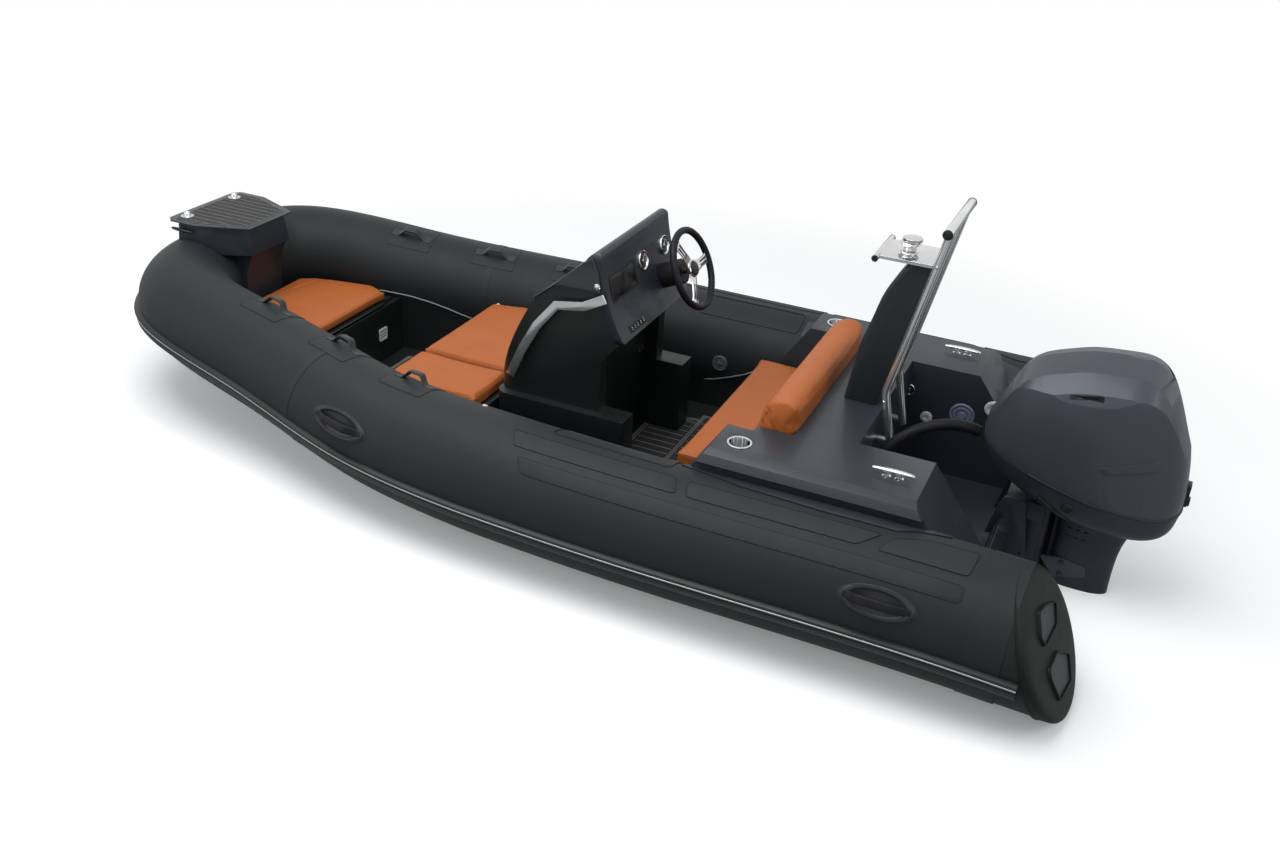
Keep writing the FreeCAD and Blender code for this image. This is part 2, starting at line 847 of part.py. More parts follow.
def console():
    """Console moulding: a sculpted upper part on a wider foot, with a knee recess aft."""
    crest = [hood_front] + console_front[:2]
    upper = side_shape(
        straight_runs(crest) + [console_front[1:]]
        + straight_runs([
            console_front[-1], (console_aft_x, console_foot_z), (console_aft_x, console_waist_z),
        ] + list(reversed(dash_back)) + [hood_front]),
        -console_half, console_half,
    )
    room = rounded_along(
        block(-far, console_fore_x, -console_half, console_half, 0, far),
        V(0, 0, 1), console_corner, lambda place: place.x > 0,
    )
    foot = block(
        console_foot_aft_x, console_fore_x, -console_foot_half, console_foot_half,
        floor_z, console_foot_z,
    )
    foot = rounded_along(foot, V(0, 0, 1), console_corner, lambda place: place.x > console_knee_x)
    knee_half = console_half * 0.8
    passage = block(-far, console_knee_x, -knee_half, knee_half, floor_z, far)
    knee = block(-far, console_knee_x, -knee_half, knee_half, floor_z, console_foot_z * 1.6)
    return joined([upper.common(room), foot.cut(passage)]).cut(knee)


def dash():
    """Dash and hood in one moulding, with rounded corners seen from aft."""
    body = side_shape(
        [dash_face, dash_hood]
        + straight_runs([dash_hood[-1]] + dash_back + [dash_face[-1]]),
        -console_half, console_half,
    )
    room = rounded_along(
        block(0, far, -console_half, console_half, dash_back[-1][1], dash_low_z + dash_rise + skin / 2),
        V(1, 0, 0), dash_corner, lambda place: True,
    )
    return body.common(room)


def offset_line(points, reach):
    """Points of a side profile's line, moved to its left by the same distance."""
    moved = []
    for i, (x, z) in enumerate(points):
        x0, z0 = points[max(i - 1, 0)]
        x1, z1 = points[min(i + 1, len(points) - 1)]
        length = math.hypot(x1 - x0, z1 - z0)
        moved.append((x - (z1 - z0) / length * reach, z + (x1 - x0) / length * reach))
    return moved


def windscreen():
    """Low smoked screen over the console's sloping top, with a wing down each side."""
    line = [hood_front] + console_front[:2]
    under = offset_line(line, seat_gap * 2)
    over = offset_line(line, seat_gap * 2 + screen_thickness)
    inner = console_half + seat_gap
    outer = inner + screen_thickness
    pane = side_prism(under + list(reversed(over)), -outer, outer)
    wing = over[:2] + dash_points(wing_shares)
    return joined([pane, both(side_prism(wing, inner, outer))])


rail_height = 36.0
rail_thickness = 9.0
rail_stand = 24.0
rail_shares = (
    (0.43, 0.53), (0.92, 0.39), (1.58, 0.33), (2.05, 0.03), (2.4, -0.3), (2.71, -0.67),
)


def handrails():
    """Flat polished bars along the console's flanks, each on two round stands."""
    line = dash_points(rail_shares)
    edge = offset_line(line, rail_height / 2) + list(reversed(offset_line(line, -rail_height / 2)))
    y = console_half + rail_stand
    pieces = [side_prism(edge, y, y + rail_thickness)]
    for x, z in (line[1], line[-2]):
        pieces.append(rod(V(x, console_half, z), V(x, y, z), rail_height / 4))
    return both(joined(pieces))


# The helm
wheel_axis = V(
    -math.cos(math.radians(wheel_tilt)), 0, math.sin(math.radians(wheel_tilt)),
)
wheel_centre = V(wheel_x, wheel_y, wheel_z)
hub_face = wheel_centre - wheel_axis * (hub_length * 0.65)


def helm_hub():
    """Steering boss on the dash, with the wheel's shaft."""
    boss = rod(hub_face, hub_face - wheel_axis * hub_length * 2, hub_radius)
    body = boss.cut(dash()).cut(console())
    shaft = rod(hub_face, wheel_centre - wheel_axis * (wheel_rim + pin_gap), wheel_rim * 0.8)
    near = min(body.Solids, key=lambda solid: solid.CenterOfMass.distanceToPoint(hub_face))
    return joined([near, shaft])


def steering_wheel():
    """Three-spoke wheel, made flat and then tilted onto its shaft."""
    rim = Part.makeTorus(wheel_radius - wheel_rim, wheel_rim)
    centre = Part.makeCylinder(wheel_rim * 2.4, wheel_rim * 1.6, V(0, 0, -wheel_rim))
    pieces = [rim, centre]
    for angle in (30, 150, 270):
        spoke = block(
            0, wheel_radius - wheel_rim, -wheel_rim, wheel_rim, -wheel_rim / 3, wheel_rim / 3,
        )
        spoke.rotate(V(0, 0, 0), V(0, 0, 1), angle)
        pieces.append(spoke)
    wheel = joined(pieces)
    wheel.rotate(V(0, 0, 0), V(0, -1, 0), 90 - wheel_tilt)
    wheel.translate(wheel_centre)
    return wheel


# Front seat
def front_seat_box():
    outer = front_seat_plan(
        front_seat_fore_x, front_seat_aft_x, -far, far,
        floor_z, front_seat_top - lid_thickness - seat_gap,
    )
    half = front_seat_half - front_taper - skin
    inner = block(
        front_seat_aft_x + skin, front_seat_fore_x - skin, -half, half, floor_z + skin, far,
    )
    return less_tube(outer.cut(inner))


front_taper = 46.0              # how much narrower each side of the lid is at its fore edge
front_taper_run = 150.0
front_hinge_x = front_seat_fore_x + hinge_radius + seat_gap * 2


def front_seat_plan(fore_x, aft_x, y0, y1, z0, z1):
    """A stretch of the seat's plan, which narrows forward where the tubes close in."""
    outline = plan_prism(
        mirror_outline([
            (fore_x, front_seat_half - front_taper),
            (front_seat_fore_x - front_taper_run, front_seat_half), (aft_x, front_seat_half),
        ]),
        z0, z1,
    )
    return outline.common(block(-far, far, y0, y1, -far, far))


def front_seat_lid():
    """Lid of the front seat, hinged along its fore edge."""
    low = front_seat_top - lid_thickness
    plate = front_seat_plan(
        front_seat_fore_x, front_seat_aft_x, -far, far, low, front_seat_top,
    )
    half = front_seat_half - front_taper - skin
    tab = block(front_seat_fore_x - skin, front_hinge_x, -half, half, low, low + hinge_radius)
    return joined([plate, tab, hinge_barrel(front_hinge_x, low, half)])


def front_cushion(y0, y1):
    z0 = front_seat_top + seat_gap
    return front_seat_plan(
        front_seat_fore_x + skin * 2, front_seat_aft_x + skin, y0, y1,
        z0, z0 + front_cushion_thickness,
    )


# Aft moulding
deck_edge = [
    (deck_half, deck_z), ((deck_half + deck_lip_half * 2) / 3, deck_z - deck_lip_drop * 0.35),
    (deck_lip_half, deck_z - deck_lip_drop),
    (deck_lip_half - deck_undercut, deck_z - deck_lip_drop - flange_thickness),
]
pod_section = [
    (well_half, floor_z - skin), (well_half, deck_z),
] + deck_edge + [(deck_lip_half - deck_undercut, floor_z - skin)]
flange_outline = [
    (flange_aft_x + flange_run * sx, flange_root_y + flange_reach * sy)
    for sx, sy in zip(flange_x_shares, flange_y_shares)
]


def tube_flange():
    """The moulding's skirt: a thin stretch of shell that follows the tube."""
    shell = half_tube(seam_place, flange_thickness + seat_gap)
    outline = [(flange_aft_x, flange_root_y)] + flange_outline
    outline.append((flange_aft_x + flange_run, flange_root_y))
    return shell.common(plan_prism(outline, tube_stern_z + tube_stern_radius / 2, far))


def aft_pods():
    """The port side deck over its tube, with a cup recess."""
    pod = section_prism(pod_section, transom_thickness, aft_seat_fore_x)
    trim = side_prism(
        [
            (deck_aft_x, deck_z), (deck_fore_x, deck_z),
            (aft_seat_fore_x - skin, aft_seat_top), (aft_seat_fore_x - skin, floor_z),
            (transom_thickness, floor_z), (transom_thickness, transom_height),
        ],
        0, far,
    )
    under_well = block(
        -far, well_fore_x + seat_gap, 0, far, -far, well_floor_z - skin + seat_gap,
    )
    wall = wall_line((wall_seat_share, seat_gap * 2), well_fore_x, aft_seat_fore_x)
    wall_y = min(point.y for point in wall)
    under_tube = block(
        well_fore_x, far, wall_y, far, -far, hull_top + seat_gap,
    )
    transom = raked_slab(
        -seat_gap, transom_thickness + seat_gap * 2, far, -far, transom_height + seat_gap,
    )
    cup = Part.makeCylinder(cup_radius + cup_rim / 2, cup_depth, V(cup_x, cup_y, deck_z - cup_depth))
    whole = joined([pod.common(trim), tube_flange()])
    return whole.cut(under_well).cut(under_tube).cut(transom).cut(cup)


def aft_moulding():
    """Seat box, seat back, side decks and splash well in one moulding."""
    pod = less_tube(aft_pods())
    back = side_prism(
        [
            (well_fore_x, floor_z), (well_fore_x, deck_z), (backrest_aft_x, deck_z),
            (backrest_aft_x, backrest_step_z), (aft_seat_back_x, backrest_step_z),
            (aft_seat_back_x, floor_z),
        ],
        -well_half, well_half,
    )
    box = block(
        aft_seat_back_x, aft_seat_fore_x, -aft_seat_half, aft_seat_half,
        floor_z, aft_seat_top - lid_thickness,
    ).cut(block(
        aft_seat_back_x + skin, aft_seat_fore_x - skin,
        -aft_seat_half + skin * 11, aft_seat_half - skin * 11, floor_z + skin, far,
    ))
    well = block(
        transom_inner_x(well_floor_z - skin) + seat_gap, well_fore_x, -well_half, well_half,
        well_floor_z - skin + seat_gap, well_floor_z,
    )
    seat_room = block(
        aft_seat_back_x + seat_gap, far, -aft_seat_half - seat_gap, aft_seat_half + seat_gap,
        aft_seat_top - lid_thickness, far,
    )
    back_room = block(
        backrest_aft_x, aft_seat_back_x + seat_gap,
        -backrest_half - skin, backrest_half + skin, backrest_step_z, far,
    )
    whole = joined([box, back, well, pod, mirrored(pod)])
    return less_tube(whole.cut(seat_room).cut(back_room))


aft_hinge_x = aft_seat_fore_x + hinge_radius + seat_gap * 2


def aft_seat_lid():
    """Lid of the aft seat, hinged along its fore edge."""
    half = aft_seat_half - skin
    low = aft_seat_top - lid_thickness
    plate = block(
        aft_seat_back_x + skin, aft_seat_fore_x, -half, half, low + seat_gap, aft_seat_top,
    )
    tab = block(
        aft_seat_fore_x - skin, aft_hinge_x, -half + skin, half - skin,
        low + seat_gap, low + hinge_radius,
    )
    return joined([plate, tab, hinge_barrel(aft_hinge_x, low, half - skin)])


def aft_cushion():
    z0 = aft_seat_top + seat_gap
    return block(
        aft_seat_back_x + skin, aft_seat_fore_x + aft_cushion_nose,
        -aft_seat_half + skin, aft_seat_half - skin, z0, z0 + aft_cushion_thickness,
    )


def backrest():
    """Padded back whose face leans aft towards its top."""
    z0 = backrest_step_z + seat_gap
    x0 = backrest_aft_x + seat_gap
    rise = backrest_top_z - z0
    face = [(x0 + backrest_depth * sx, z0 + rise * sz) for sx, sz in backrest_face_shares]
    return side_shape(
        [face] + straight_runs([face[-1], (face[-1][0] - skin, z0), (x0, z0), face[0]]),
        -backrest_half, backrest_half,
    )


def cup_rings():
    outer = Part.makeCylinder(cup_radius + cup_rim / 2 - seat_gap, cup_depth - seat_gap, V(0, 0, 0))
    lip = Part.makeCylinder(cup_radius + cup_rim, cup_rim / 3, V(0, 0, cup_depth - seat_gap))
    bore = Part.makeCylinder(cup_radius, cup_depth * 2, V(0, 0, cup_rim / 2))
    ring = joined([outer, lip]).cut(bore)
    ring.translate(V(cup_x, cup_y, deck_z - cup_depth + seat_gap))
    return both(ring)


# Mast
mast_foot = V(mast_foot_x, mast_half, mast_foot_z)
mast_kink = V(mast_kink_x, mast_half, mast_kink_z)
mast_top = V(mast_top_x, mast_half, mast_top_z)


def mast_tubes():
    """Two bent legs and the bar across their tops, on clamps on the well's fore wall."""
    leg = bent_rod([mast_foot, mast_kink, mast_top], mast_tube_radius, mast_tube_radius * 6)
    bar = rod(
        V(mast_top_x, -mast_bar_half, mast_top_z), V(mast_top_x, mast_bar_half, mast_top_z),
        mast_bar_radius,
    )
    stand = rod(
        V(mast_foot_x, mast_half, mast_foot_z + mast_bar_radius),
        V(well_fore_x, mast_half, mast_foot_z + mast_bar_radius), mast_tube_radius * 0.8,
    )
    return joined([leg, mirrored(leg), bar, stand, mirrored(stand)])


def tube_line_x(z):
    """Where the straight stretch of a leg stands at a height."""
    share = (z - mast_kink_z) / (mast_top_z - mast_kink_z)
    return mast_kink_x + (mast_top_x - mast_kink_x) * share


def mast_fin():
    """Moulded fin up the fore side of the legs, from the seat back to the shelf."""
    clear = (mast_tube_radius + seat_gap * 4) * 1.1
    rise = fin_head_z - deck_z
    fore = [(fin_foot_x - fin_reach * sx, deck_z + rise * sz) for sx, sz in fin_edge_shares]
    aft_foot = (tube_line_x(deck_z) + clear, deck_z)
    aft_head = (tube_line_x(fin_head_z) + clear, fin_head_z)
    body = side_shape(
        [fore] + straight_runs([fore[-1], aft_head, aft_foot, fore[0]]), -fin_half, fin_half,
    )
    edges = [
        edge for edge in body.Edges
        if edge.Curve.TypeId == "Part::GeomBSplineCurve" and edge.Length > rise / 2
    ]
    return body.makeFillet(fin_corner, edges)


def mast_shelf():
    """Shelf at the head of the fin, with a front bar and the towing post."""
    clear = mast_tube_radius + seat_gap
    aft = tube_line_x(shelf_z) + clear * 1.1
    plate = plan_prism(
        [
            (aft, -mast_half), (shelf_fore_x, -shelf_half * 0.8),
            (shelf_fore_x, shelf_half * 0.8), (aft, mast_half),
        ],
        fin_head_z, fin_head_z + shelf_thickness,
    )
    z = fin_head_z + shelf_thickness / 2
    bar = rod(
        V(shelf_fore_x, -shelf_half, z), V(shelf_fore_x, shelf_half, z), shelf_thickness,
    )
    post = Part.makeCylinder(
        shelf_thickness * 1.6, shelf_thickness * 4, V((aft + shelf_fore_x) / 2, 0, z),
    )
    cap = Part.makeCylinder(
        shelf_thickness * 3, shelf_thickness, V((aft + shelf_fore_x) / 2, 0, z + shelf_thickness * 4),
    )
    return joined([plate, bar, post, cap])


# Engine
def clamp_bracket():
    """Two cheeks over the transom and the tilt tube between them."""
    inner = clamp_inner_y
    profile = [
        (tilt_x - skin * 5, tilt_z + skin * 3), (tilt_x + skin * 3, tilt_z + skin * 3),
        (transom_thickness + skin * 2.2, tilt_z - skin), (transom_thickness + skin * 5, skin * 18),
        (transom_thickness + skin * 3, skin * 18),
        (transom_thickness + seat_gap, transom_height + seat_gap),
        (-seat_gap, transom_height + seat_gap),
        ((transom_height + skin * 4) * rake_slope - seat_gap, -skin * 4),
        (-skin * 3, -skin * 4), (-skin * 7, skin * 12),
    ]
    cheek = side_prism(profile, inner, inner + clamp_thickness)
    cheek = cheek.cut(raked_slab(-seat_gap, transom_thickness + seat_gap * 2, far, -far, transom_height))
    cheek = max(cheek.Solids, key=lambda solid: solid.Volume)
    for i in range(clamp_hole_count):
        z = skin * 5 + clamp_hole_pitch * i
        x = -skin * 2 - z * rake_slope
        cheek = cheek.cut(rod(V(x, 0, z), V(x, far, z), clamp_hole_radius))
    pin = rod(V(tilt_x, -inner - overrun, tilt_z), V(tilt_x, inner + overrun, tilt_z), tilt_pin_radius)
    return joined([cheek, mirrored(cheek), pin])


def swivel_bracket():
    """Arms on the tilt tube and the tube that the engine steers in."""
    top = tilt_z + skin * 2
    low = skin
    arm_profile = [
        (tilt_x + skin * 2.6, tilt_z - skin * 2), (tilt_x + skin * 2.6, tilt_z + skin * 2.2),
        (steer_x, tilt_z + skin * 2.2), (steer_x, low), (steer_x + skin * 2.5, low),
        (-skin * 3.4, tilt_z - skin * 6),
    ]
    web = side_prism(arm_profile, -swivel_half, swivel_half)
    waist = block(
        -far, -skin * 2, swivel_half * 0.55, far, -far, tilt_z - skin * 5,
    )
    tube = Part.makeCylinder(swivel_radius, top - low, V(steer_x, 0, low))
    pin = rod(V(tilt_x, -far, tilt_z), V(tilt_x, far, tilt_z), tilt_pin_radius + pin_gap)
    bore = rod(V(steer_x, 0, -far), V(steer_x, 0, far), steer_pin_radius + pin_gap)
    keep = joined([web.cut(waist).cut(mirrored(waist)), tube])
    swing = rod(V(steer_x, 0, -far), V(steer_x, 0, far), swivel_radius)
    behind = block(-far, steer_x, -far, far, -far, far).cut(swing)
    return keep.cut(behind).cut(pin).cut(bore)


def oval(x0, x1, half, z, tail, nose):
    """An oval ring round a stretch of the centreline, its two ends as square as their powers say."""
    middle = (x0 + x1) / 2
    reach = (x1 - x0) / 2
    count = 20
    points = []
    for i in range(count):
        angle = 2 * math.pi * i / count
        c = math.cos(angle)
        s = math.sin(angle)
        power = nose if c > 0 else tail
        x = middle + reach * math.copysign(abs(c) ** power, c)
        y = half * math.copysign(abs(s) ** power, s)
        points.append(V(x, y, z))
    curve = Part.BSplineCurve()
    curve.interpolate(points, True)
    return Part.Wire(curve.toShape())


cowl_run = cowl_fore_x - cowl_aft_x
cowl_rise = cowl_top_z - cowl_low_z


def cowl_points(shares):
    return [(cowl_aft_x + cowl_run * sx, cowl_low_z + cowl_rise * sz) for sx, sz in shares]


def roof_ring(sy, sz):
    """The roof line at a share of the half width, lowered there and closed far below."""
    y = cowl_half * sy
    line = [V(x, y, z - cowl_rise * (1 - sz)) for x, z in cowl_points(roof_shares)]
    roof = Part.BSplineCurve()
    roof.interpolate(line)
    corners = [line[-1], V(line[-1].x, y, -far), V(line[0].x, y, -far), line[0]]
    walls = [Part.LineSegment(a, b).toShape() for a, b in zip(corners, corners[1:])]
    return Part.Wire([roof.toShape()] + walls)


def engine_pod():
    """The whole cowling: plan ovals under a roof that falls from its ridge to two creases."""
    rings = []
    for sz, aft, fore, half in zip(cowl_z_shares, cowl_aft_shares, cowl_fore_shares, cowl_half_shares):
        rings.append(oval(
            cowl_aft_x + cowl_run * aft, cowl_aft_x + cowl_run * fore,
            cowl_half * half, cowl_low_z + cowl_rise * sz, cowl_tail_power, cowl_nose_power,
        ))
    body = Part.makeLoft(rings, True)
    port = [roof_ring(sy, sz) for sy, sz in shoulder_shares]
    starboard = [roof_ring(-sy, sz) for sy, sz in shoulder_shares[1:]]
    return body.common(Part.makeLoft(starboard[::-1] + port, True, True))


seam_line = cowl_points(seam_shares)


def above_seam(lift):
    top = [(x, z + lift) for x, z in seam_line]
    return side_prism(top + [(seam_line[-1][0], far), (seam_line[0][0], far)], -far, far)


def below_seam():
    return side_prism(
        seam_line + [(seam_line[-1][0], -far), (seam_line[0][0], -far)], -far, far,
    )


def cowl():
    """Upper cowling, with the air intake under its rear lip and a slot in each side."""
    low, high = [cowl_low_z + cowl_rise * share for share in intake_z_shares]
    mouth_x = cowl_points([(cowl_aft_shares[-2], 0)])[0][0]
    intake = block(-far, mouth_x + intake_depth, -intake_half, intake_half, low, high)
    intake = rounded_along(intake, V(1, 0, 0), skin, lambda place: True)
    slot_x, slot_z = cowl_points([side_slot_place_share])[0]
    slot = side_prism(
        [
            (slot_x, slot_z), (slot_x - side_slot_length, slot_z + side_slot_height),
            (slot_x - side_slot_length, slot_z),
        ],
        cowl_half - skin * 3, far,
    )
    return engine_pod().common(above_seam(seat_gap * 2)).cut(intake).cut(both(slot))


def engine_leg():
    """Lower cowling, mid-section, gearcase, anti-ventilation plate and skeg."""
    pan = engine_pod().common(below_seam())
    clear_top = tilt_z + skin * 2.2 + run_gap
    pan = pan.cut(block(steer_x - swivel_radius - run_gap, far, -far, far, -far, clear_top))
    rings = []
    for sz, aft, fore, half in zip(leg_z_shares, leg_aft_shares, leg_fore_shares, leg_half_shares):
        rings.append(oval(
            steer_x - leg_reach * aft, steer_x - leg_reach * fore,
            leg_half * half, leg_low_z + (leg_top_z - leg_low_z) * sz, leg_power, leg_power,
        ))
    leg = Part.makeLoft(rings, True)
    plate_port = [(plate_fore_x - plate_run * sx, plate_half * sy) for sx, sy in plate_shares]
    plate = plan_prism(mirror_outline(plate_port), plate_z, plate_z + skin)
    stretch = FreeCAD.Matrix()
    stretch.scale(V(gear_stretch, 1, 1))
    bullet = Part.makeSphere(prop_hub_radius).transformGeometry(stretch)
    bullet.translate(V(gear_nose_x, 0, shaft_z))
    nose = V(gear_nose_x, 0, shaft_z)
    barrel = rod(nose, V(prop_x + prop_hub_length / 2 + run_gap, 0, shaft_z), prop_hub_radius)
    shaft = rod(nose, V(prop_x - prop_hub_length / 2 - skin, 0, shaft_z), shaft_radius)
    skeg = side_prism(
        [
            (skeg_fore_x - skeg_run * sx, shaft_z + (skeg_z - shaft_z) * sz)
            for sx, sz in skeg_shares
        ],
        -skin / 2, skin / 2,
    )
    pin = Part.makeCylinder(
        steer_pin_radius, clear_top + skin * 3, V(steer_x, 0, -skin * 2),
    )
    yoke = block(
        steer_x - swivel_radius * 1.6, steer_x + steer_pin_radius * 1.2,
        -swivel_radius, swivel_radius, -skin * 3.4, -run_gap,
    )
    return joined([pan, leg, plate, bullet, barrel, shaft, skeg, pin, yoke])


def blade_ring(width, thickness, turn, radius):
    """A blade's section: a flat lens across the shaft's line, turned by its pitch."""
    half = width / 2
    back = Part.Arc(V(-half, 0, 0), V(0, thickness / 2, 0), V(half, 0, 0)).toShape()
    face = Part.Arc(V(half, 0, 0), V(0, -thickness / 2, 0), V(-half, 0, 0)).toShape()
    ring = Part.Wire([back, face])
    ring.rotate(V(0, 0, 0), V(0, 0, 1), turn)
    ring.translate(V(0, 0, radius))
    return ring


def propeller():
    """Hub with pitched blades that twist and broaden outward."""
    hub = rod(V(-prop_hub_length / 2, 0, 0), V(prop_hub_length / 2, 0, 0), prop_hub_radius)
    rings = [
        blade_ring(width, thickness, turn, prop_radius * share)
        for width, thickness, turn, share in zip(
            blade_widths, blade_thicknesses, blade_turns, blade_radius_shares)
    ]
    blade = Part.makeLoft(rings, True)
    whole = hub
    for i in range(prop_blades):
        turned = blade.copy()
        turned.rotate(V(0, 0, 0), V(1, 0, 0), 360 * i / prop_blades)
        whole = joined([whole, turned])
    bore = rod(V(-prop_hub_length, 0, 0), V(prop_hub_length, 0, 0), shaft_radius + pin_gap)
    whole = whole.cut(bore)
    whole.translate(V(prop_x, 0, shaft_z))
    return whole


# Rigging hose from the well's fore wall to the front of the lower cowling
hose_radius = 22.0
hose_route = [
    V(562.0, 176.0, 383.0), V(507.0, 160.0, 452.0), V(446.0, 138.0, 520.0), V(378.0, 110.0, 562.0),
    V(300.0, 80.0, 580.0), V(235.0, 53.0, 573.0), V(194.0, 33.0, 554.0),
]
arc_share = 0.45                # of the shorter run beside a point, taken by its arc


def rigging_hose():
    """A hose that runs straight between arcs as large as its runs allow."""
    edges = []
    start = hose_route[0]
    for before, corner, after in zip(hose_route, hose_route[1:], hose_route[2:]):
        back = before - corner
        ahead = after - corner
        reach = min(back.Length, ahead.Length) * arc_share
        back.normalize()
        ahead.normalize()
        half = back.getAngle(ahead) / 2
        bend = reach * math.tan(half)
        print("hose bend", round(bend))
        first = corner + back * reach
        last = corner + ahead * reach
        crest = corner + (back + ahead).normalize() * (bend / math.sin(half) - bend)
        edges.append(Part.LineSegment(start, first).toShape())
        edges.append(Part.Arc(first, crest, last).toShape())
        start = last
    edges.append(Part.LineSegment(start, hose_route[-1]).toShape())
    path = Part.Wire(edges)
    ring = Part.Wire(
        Part.Circle(hose_route[0], hose_route[1] - hose_route[0], hose_radius).toShape()
    )
    hose = path.makePipeShell([ring], True, False)
    trim = block(-far, well_fore_x - seat_gap, -far, far, -far, far)
    print("hose volume share", hose.Volume / (math.pi * hose_radius ** 2 * path.Length))
    return hose.common(trim)


# Handles on the tubes
strap_places = (2291.0, 2696.0, 3107.0)
strap_angle = 108.0              # degrees round the tube, 90 on top
strap_length = 190.0
strap_width = 34.0
strap_lift = 34.0
strap_thickness = 5.0
loop_shares = ((1.0, 0.0), (0.62, 0.0), (0.3, 1.0))    # of half the length, of the lift
carry_places = (296.0, 2418.0)
carry_angle = 25.0
carry_length = 256.0
carry_height = 104.0
carry_base = 9.0                 # the moulded base above the tube
carry_sink = 34.0                # how deep the base's blank starts, for the tube's curve
carry_rim_share = 0.72
grip_lift = 32.0
grip_thickness = 11.0
grip_width = 30.0


def tube_surface(x, angle, grow):
    centre, side, up, radius = tube_frame(path_at(x))
    a = math.radians(angle)
    out = side * math.cos(a) + up * math.sin(a)
    return centre + out * (radius + grow), out


def handle_place(x, angle, length):
    """Middle, run, outward direction and width direction of a handle on the tube."""
    start = tube_surface(x - length / 2, angle, seat_gap)[0]
    end = tube_surface(x + length / 2, angle, seat_gap)[0]
    middle, out = tube_surface(x, angle, seat_gap)
    along = (end - start).normalize()
    return middle, along, out, out.cross(along).normalize()


def loop(place, length, lift, thickness, width):
    """A flat bar that rises from the tube between its two glued ends."""
    middle, along, out, across = place
    half = length / 2
    over = [(-half * su, lift * sw + thickness * (1 - sw)) for su, sw in loop_shares]
    under = [(-half * su * 0.9, (lift - thickness) * sw) for su, sw in loop_shares]
    over += [(-u, w) for u, w in reversed(over)]
    under += [(-u, w) for u, w in reversed(under)]
    points = [middle + along * u + out * w - across * (width / 2) for u, w in over + under[::-1]]
    return Part.Face(Part.makePolygon(points + [points[0]])).extrude(across * width)


def oval_plate(place, length, height, low, high):
    """An oval blank square to the tube, from a depth to a height over its surface."""
    middle, along, out, across = place
    ellipse = Part.Ellipse(V(0, 0, 0), length / 2, height / 2).toShape()
    blank = Part.Face(Part.Wire(ellipse)).extrude(V(0, 0, high - low))
    turn = FreeCAD.Matrix(
        along.x, across.x, out.x, 0, along.y, across.y, out.y, 0, along.z, across.z, out.z, 0,
    )
    blank.Placement = FreeCAD.Placement(middle + out * low, FreeCAD.Placement(turn).Rotation)
    return blank


def strap_handles():
    """Webbing loops over the port tube."""
    straps = []
    for x in strap_places:
        place = handle_place(x, strap_angle, strap_length)
        straps.append(less_tube(loop(place, strap_length, strap_lift, strap_thickness, strap_width)))
    return Part.makeCompound(straps)


def carry_handle(x):
    """A moulded oval base, dished inside its rim, with a grip across it."""
    place = handle_place(x, carry_angle, carry_length)
    base = oval_plate(place, carry_length, carry_height, -carry_sink, carry_base)
    dish = oval_plate(
        place, carry_length * carry_rim_share, carry_height * carry_rim_share, -carry_sink, far,
    )
    grip = loop(place, carry_length * 0.94, grip_lift, grip_thickness, grip_width)
    return less_tube(joined([base.cut(dish), grip]))


def carry_handles():
    return Part.makeCompound([carry_handle(x) for x in carry_places])


shapes = {}
shapes["port_tube"] = side_chamber()
shapes["starboard_tube"] = mirrored(shapes["port_tube"])
shapes["bow_tube"] = bow_chamber()
shapes["rubbing_strake"] = rubbing_strake()
shapes["port_end_cap"] = end_cap()
shapes["starboard_end_cap"] = mirrored(shapes["port_end_cap"])
shapes["hull"] = hull()
shapes["transom"] = transom()
shapes["deck_liner"] = deck_liner()
shapes["floor_tread"] = floor_tread()
shapes["bow_locker"] = bow_locker()
shapes["bow_lid"] = bow_lid()
shapes["bow_cushion"] = bow_cushion()
shapes["bow_step"] = bow_step()
shapes["bow_step_tread"] = bow_step_tread()
shapes["bow_lights"] = bow_lights()
shapes["aft_cleats"] = aft_cleats()
shapes["console"] = console()
shapes["dash"] = dash()
shapes["windscreen"] = windscreen()
shapes["console_rails"] = handrails()
shapes["helm_hub"] = helm_hub()
shapes["steering_wheel"] = steering_wheel()
shapes["front_seat_box"] = front_seat_box()
shapes["front_seat_lid"] = front_seat_lid()
shapes["front_cushion_port"] = front_cushion(front_split_y + seat_gap, far)
shapes["front_cushion_starboard"] = front_cushion(-far, front_split_y - seat_gap)
shapes["aft_moulding"] = aft_moulding()
shapes["aft_seat_lid"] = aft_seat_lid()
shapes["aft_cushion"] = aft_cushion()
shapes["backrest"] = backrest()
shapes["cup_rings"] = cup_rings()
shapes["mast_tubes"] = mast_tubes()
shapes["mast_fin"] = mast_fin()
shapes["mast_shelf"] = mast_shelf()
shapes["clamp_bracket"] = clamp_bracket()
shapes["swivel_bracket"] = swivel_bracket()
shapes["cowl"] = cowl()
shapes["engine_leg"] = engine_leg()
shapes["propeller"] = propeller()
shapes["rigging_hose"] = rigging_hose()
shapes["port_strap_handles"] = strap_handles()
shapes["starboard_strap_handles"] = mirrored(shapes["port_strap_handles"])
shapes["port_carry_handles"] = carry_handles()
shapes["starboard_carry_handles"] = mirrored(shapes["port_carry_handles"])

for name, shape in shapes.items():
    save(shape, name)
    print(name, shape.isValid(), len(shape.Solids), round(shape.Volume / 1e6, 2))
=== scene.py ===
# %% [markdown]
# # Dressing an inflatable boat
# The construction comes in as a fixed frame of solids.  This notebook gives each solid its finish,
# models again what needs a softer or richer shape, and sets a camera and a plain studio round it.
# Lengths are metres: +X is to the bow, +Y to port, +Z up, and the still water is at z = 0.

# %% Load the frame
import bpy, bmesh, json, math
from mathutils import Matrix, Vector
from mathutils.bvhtree import BVHTree

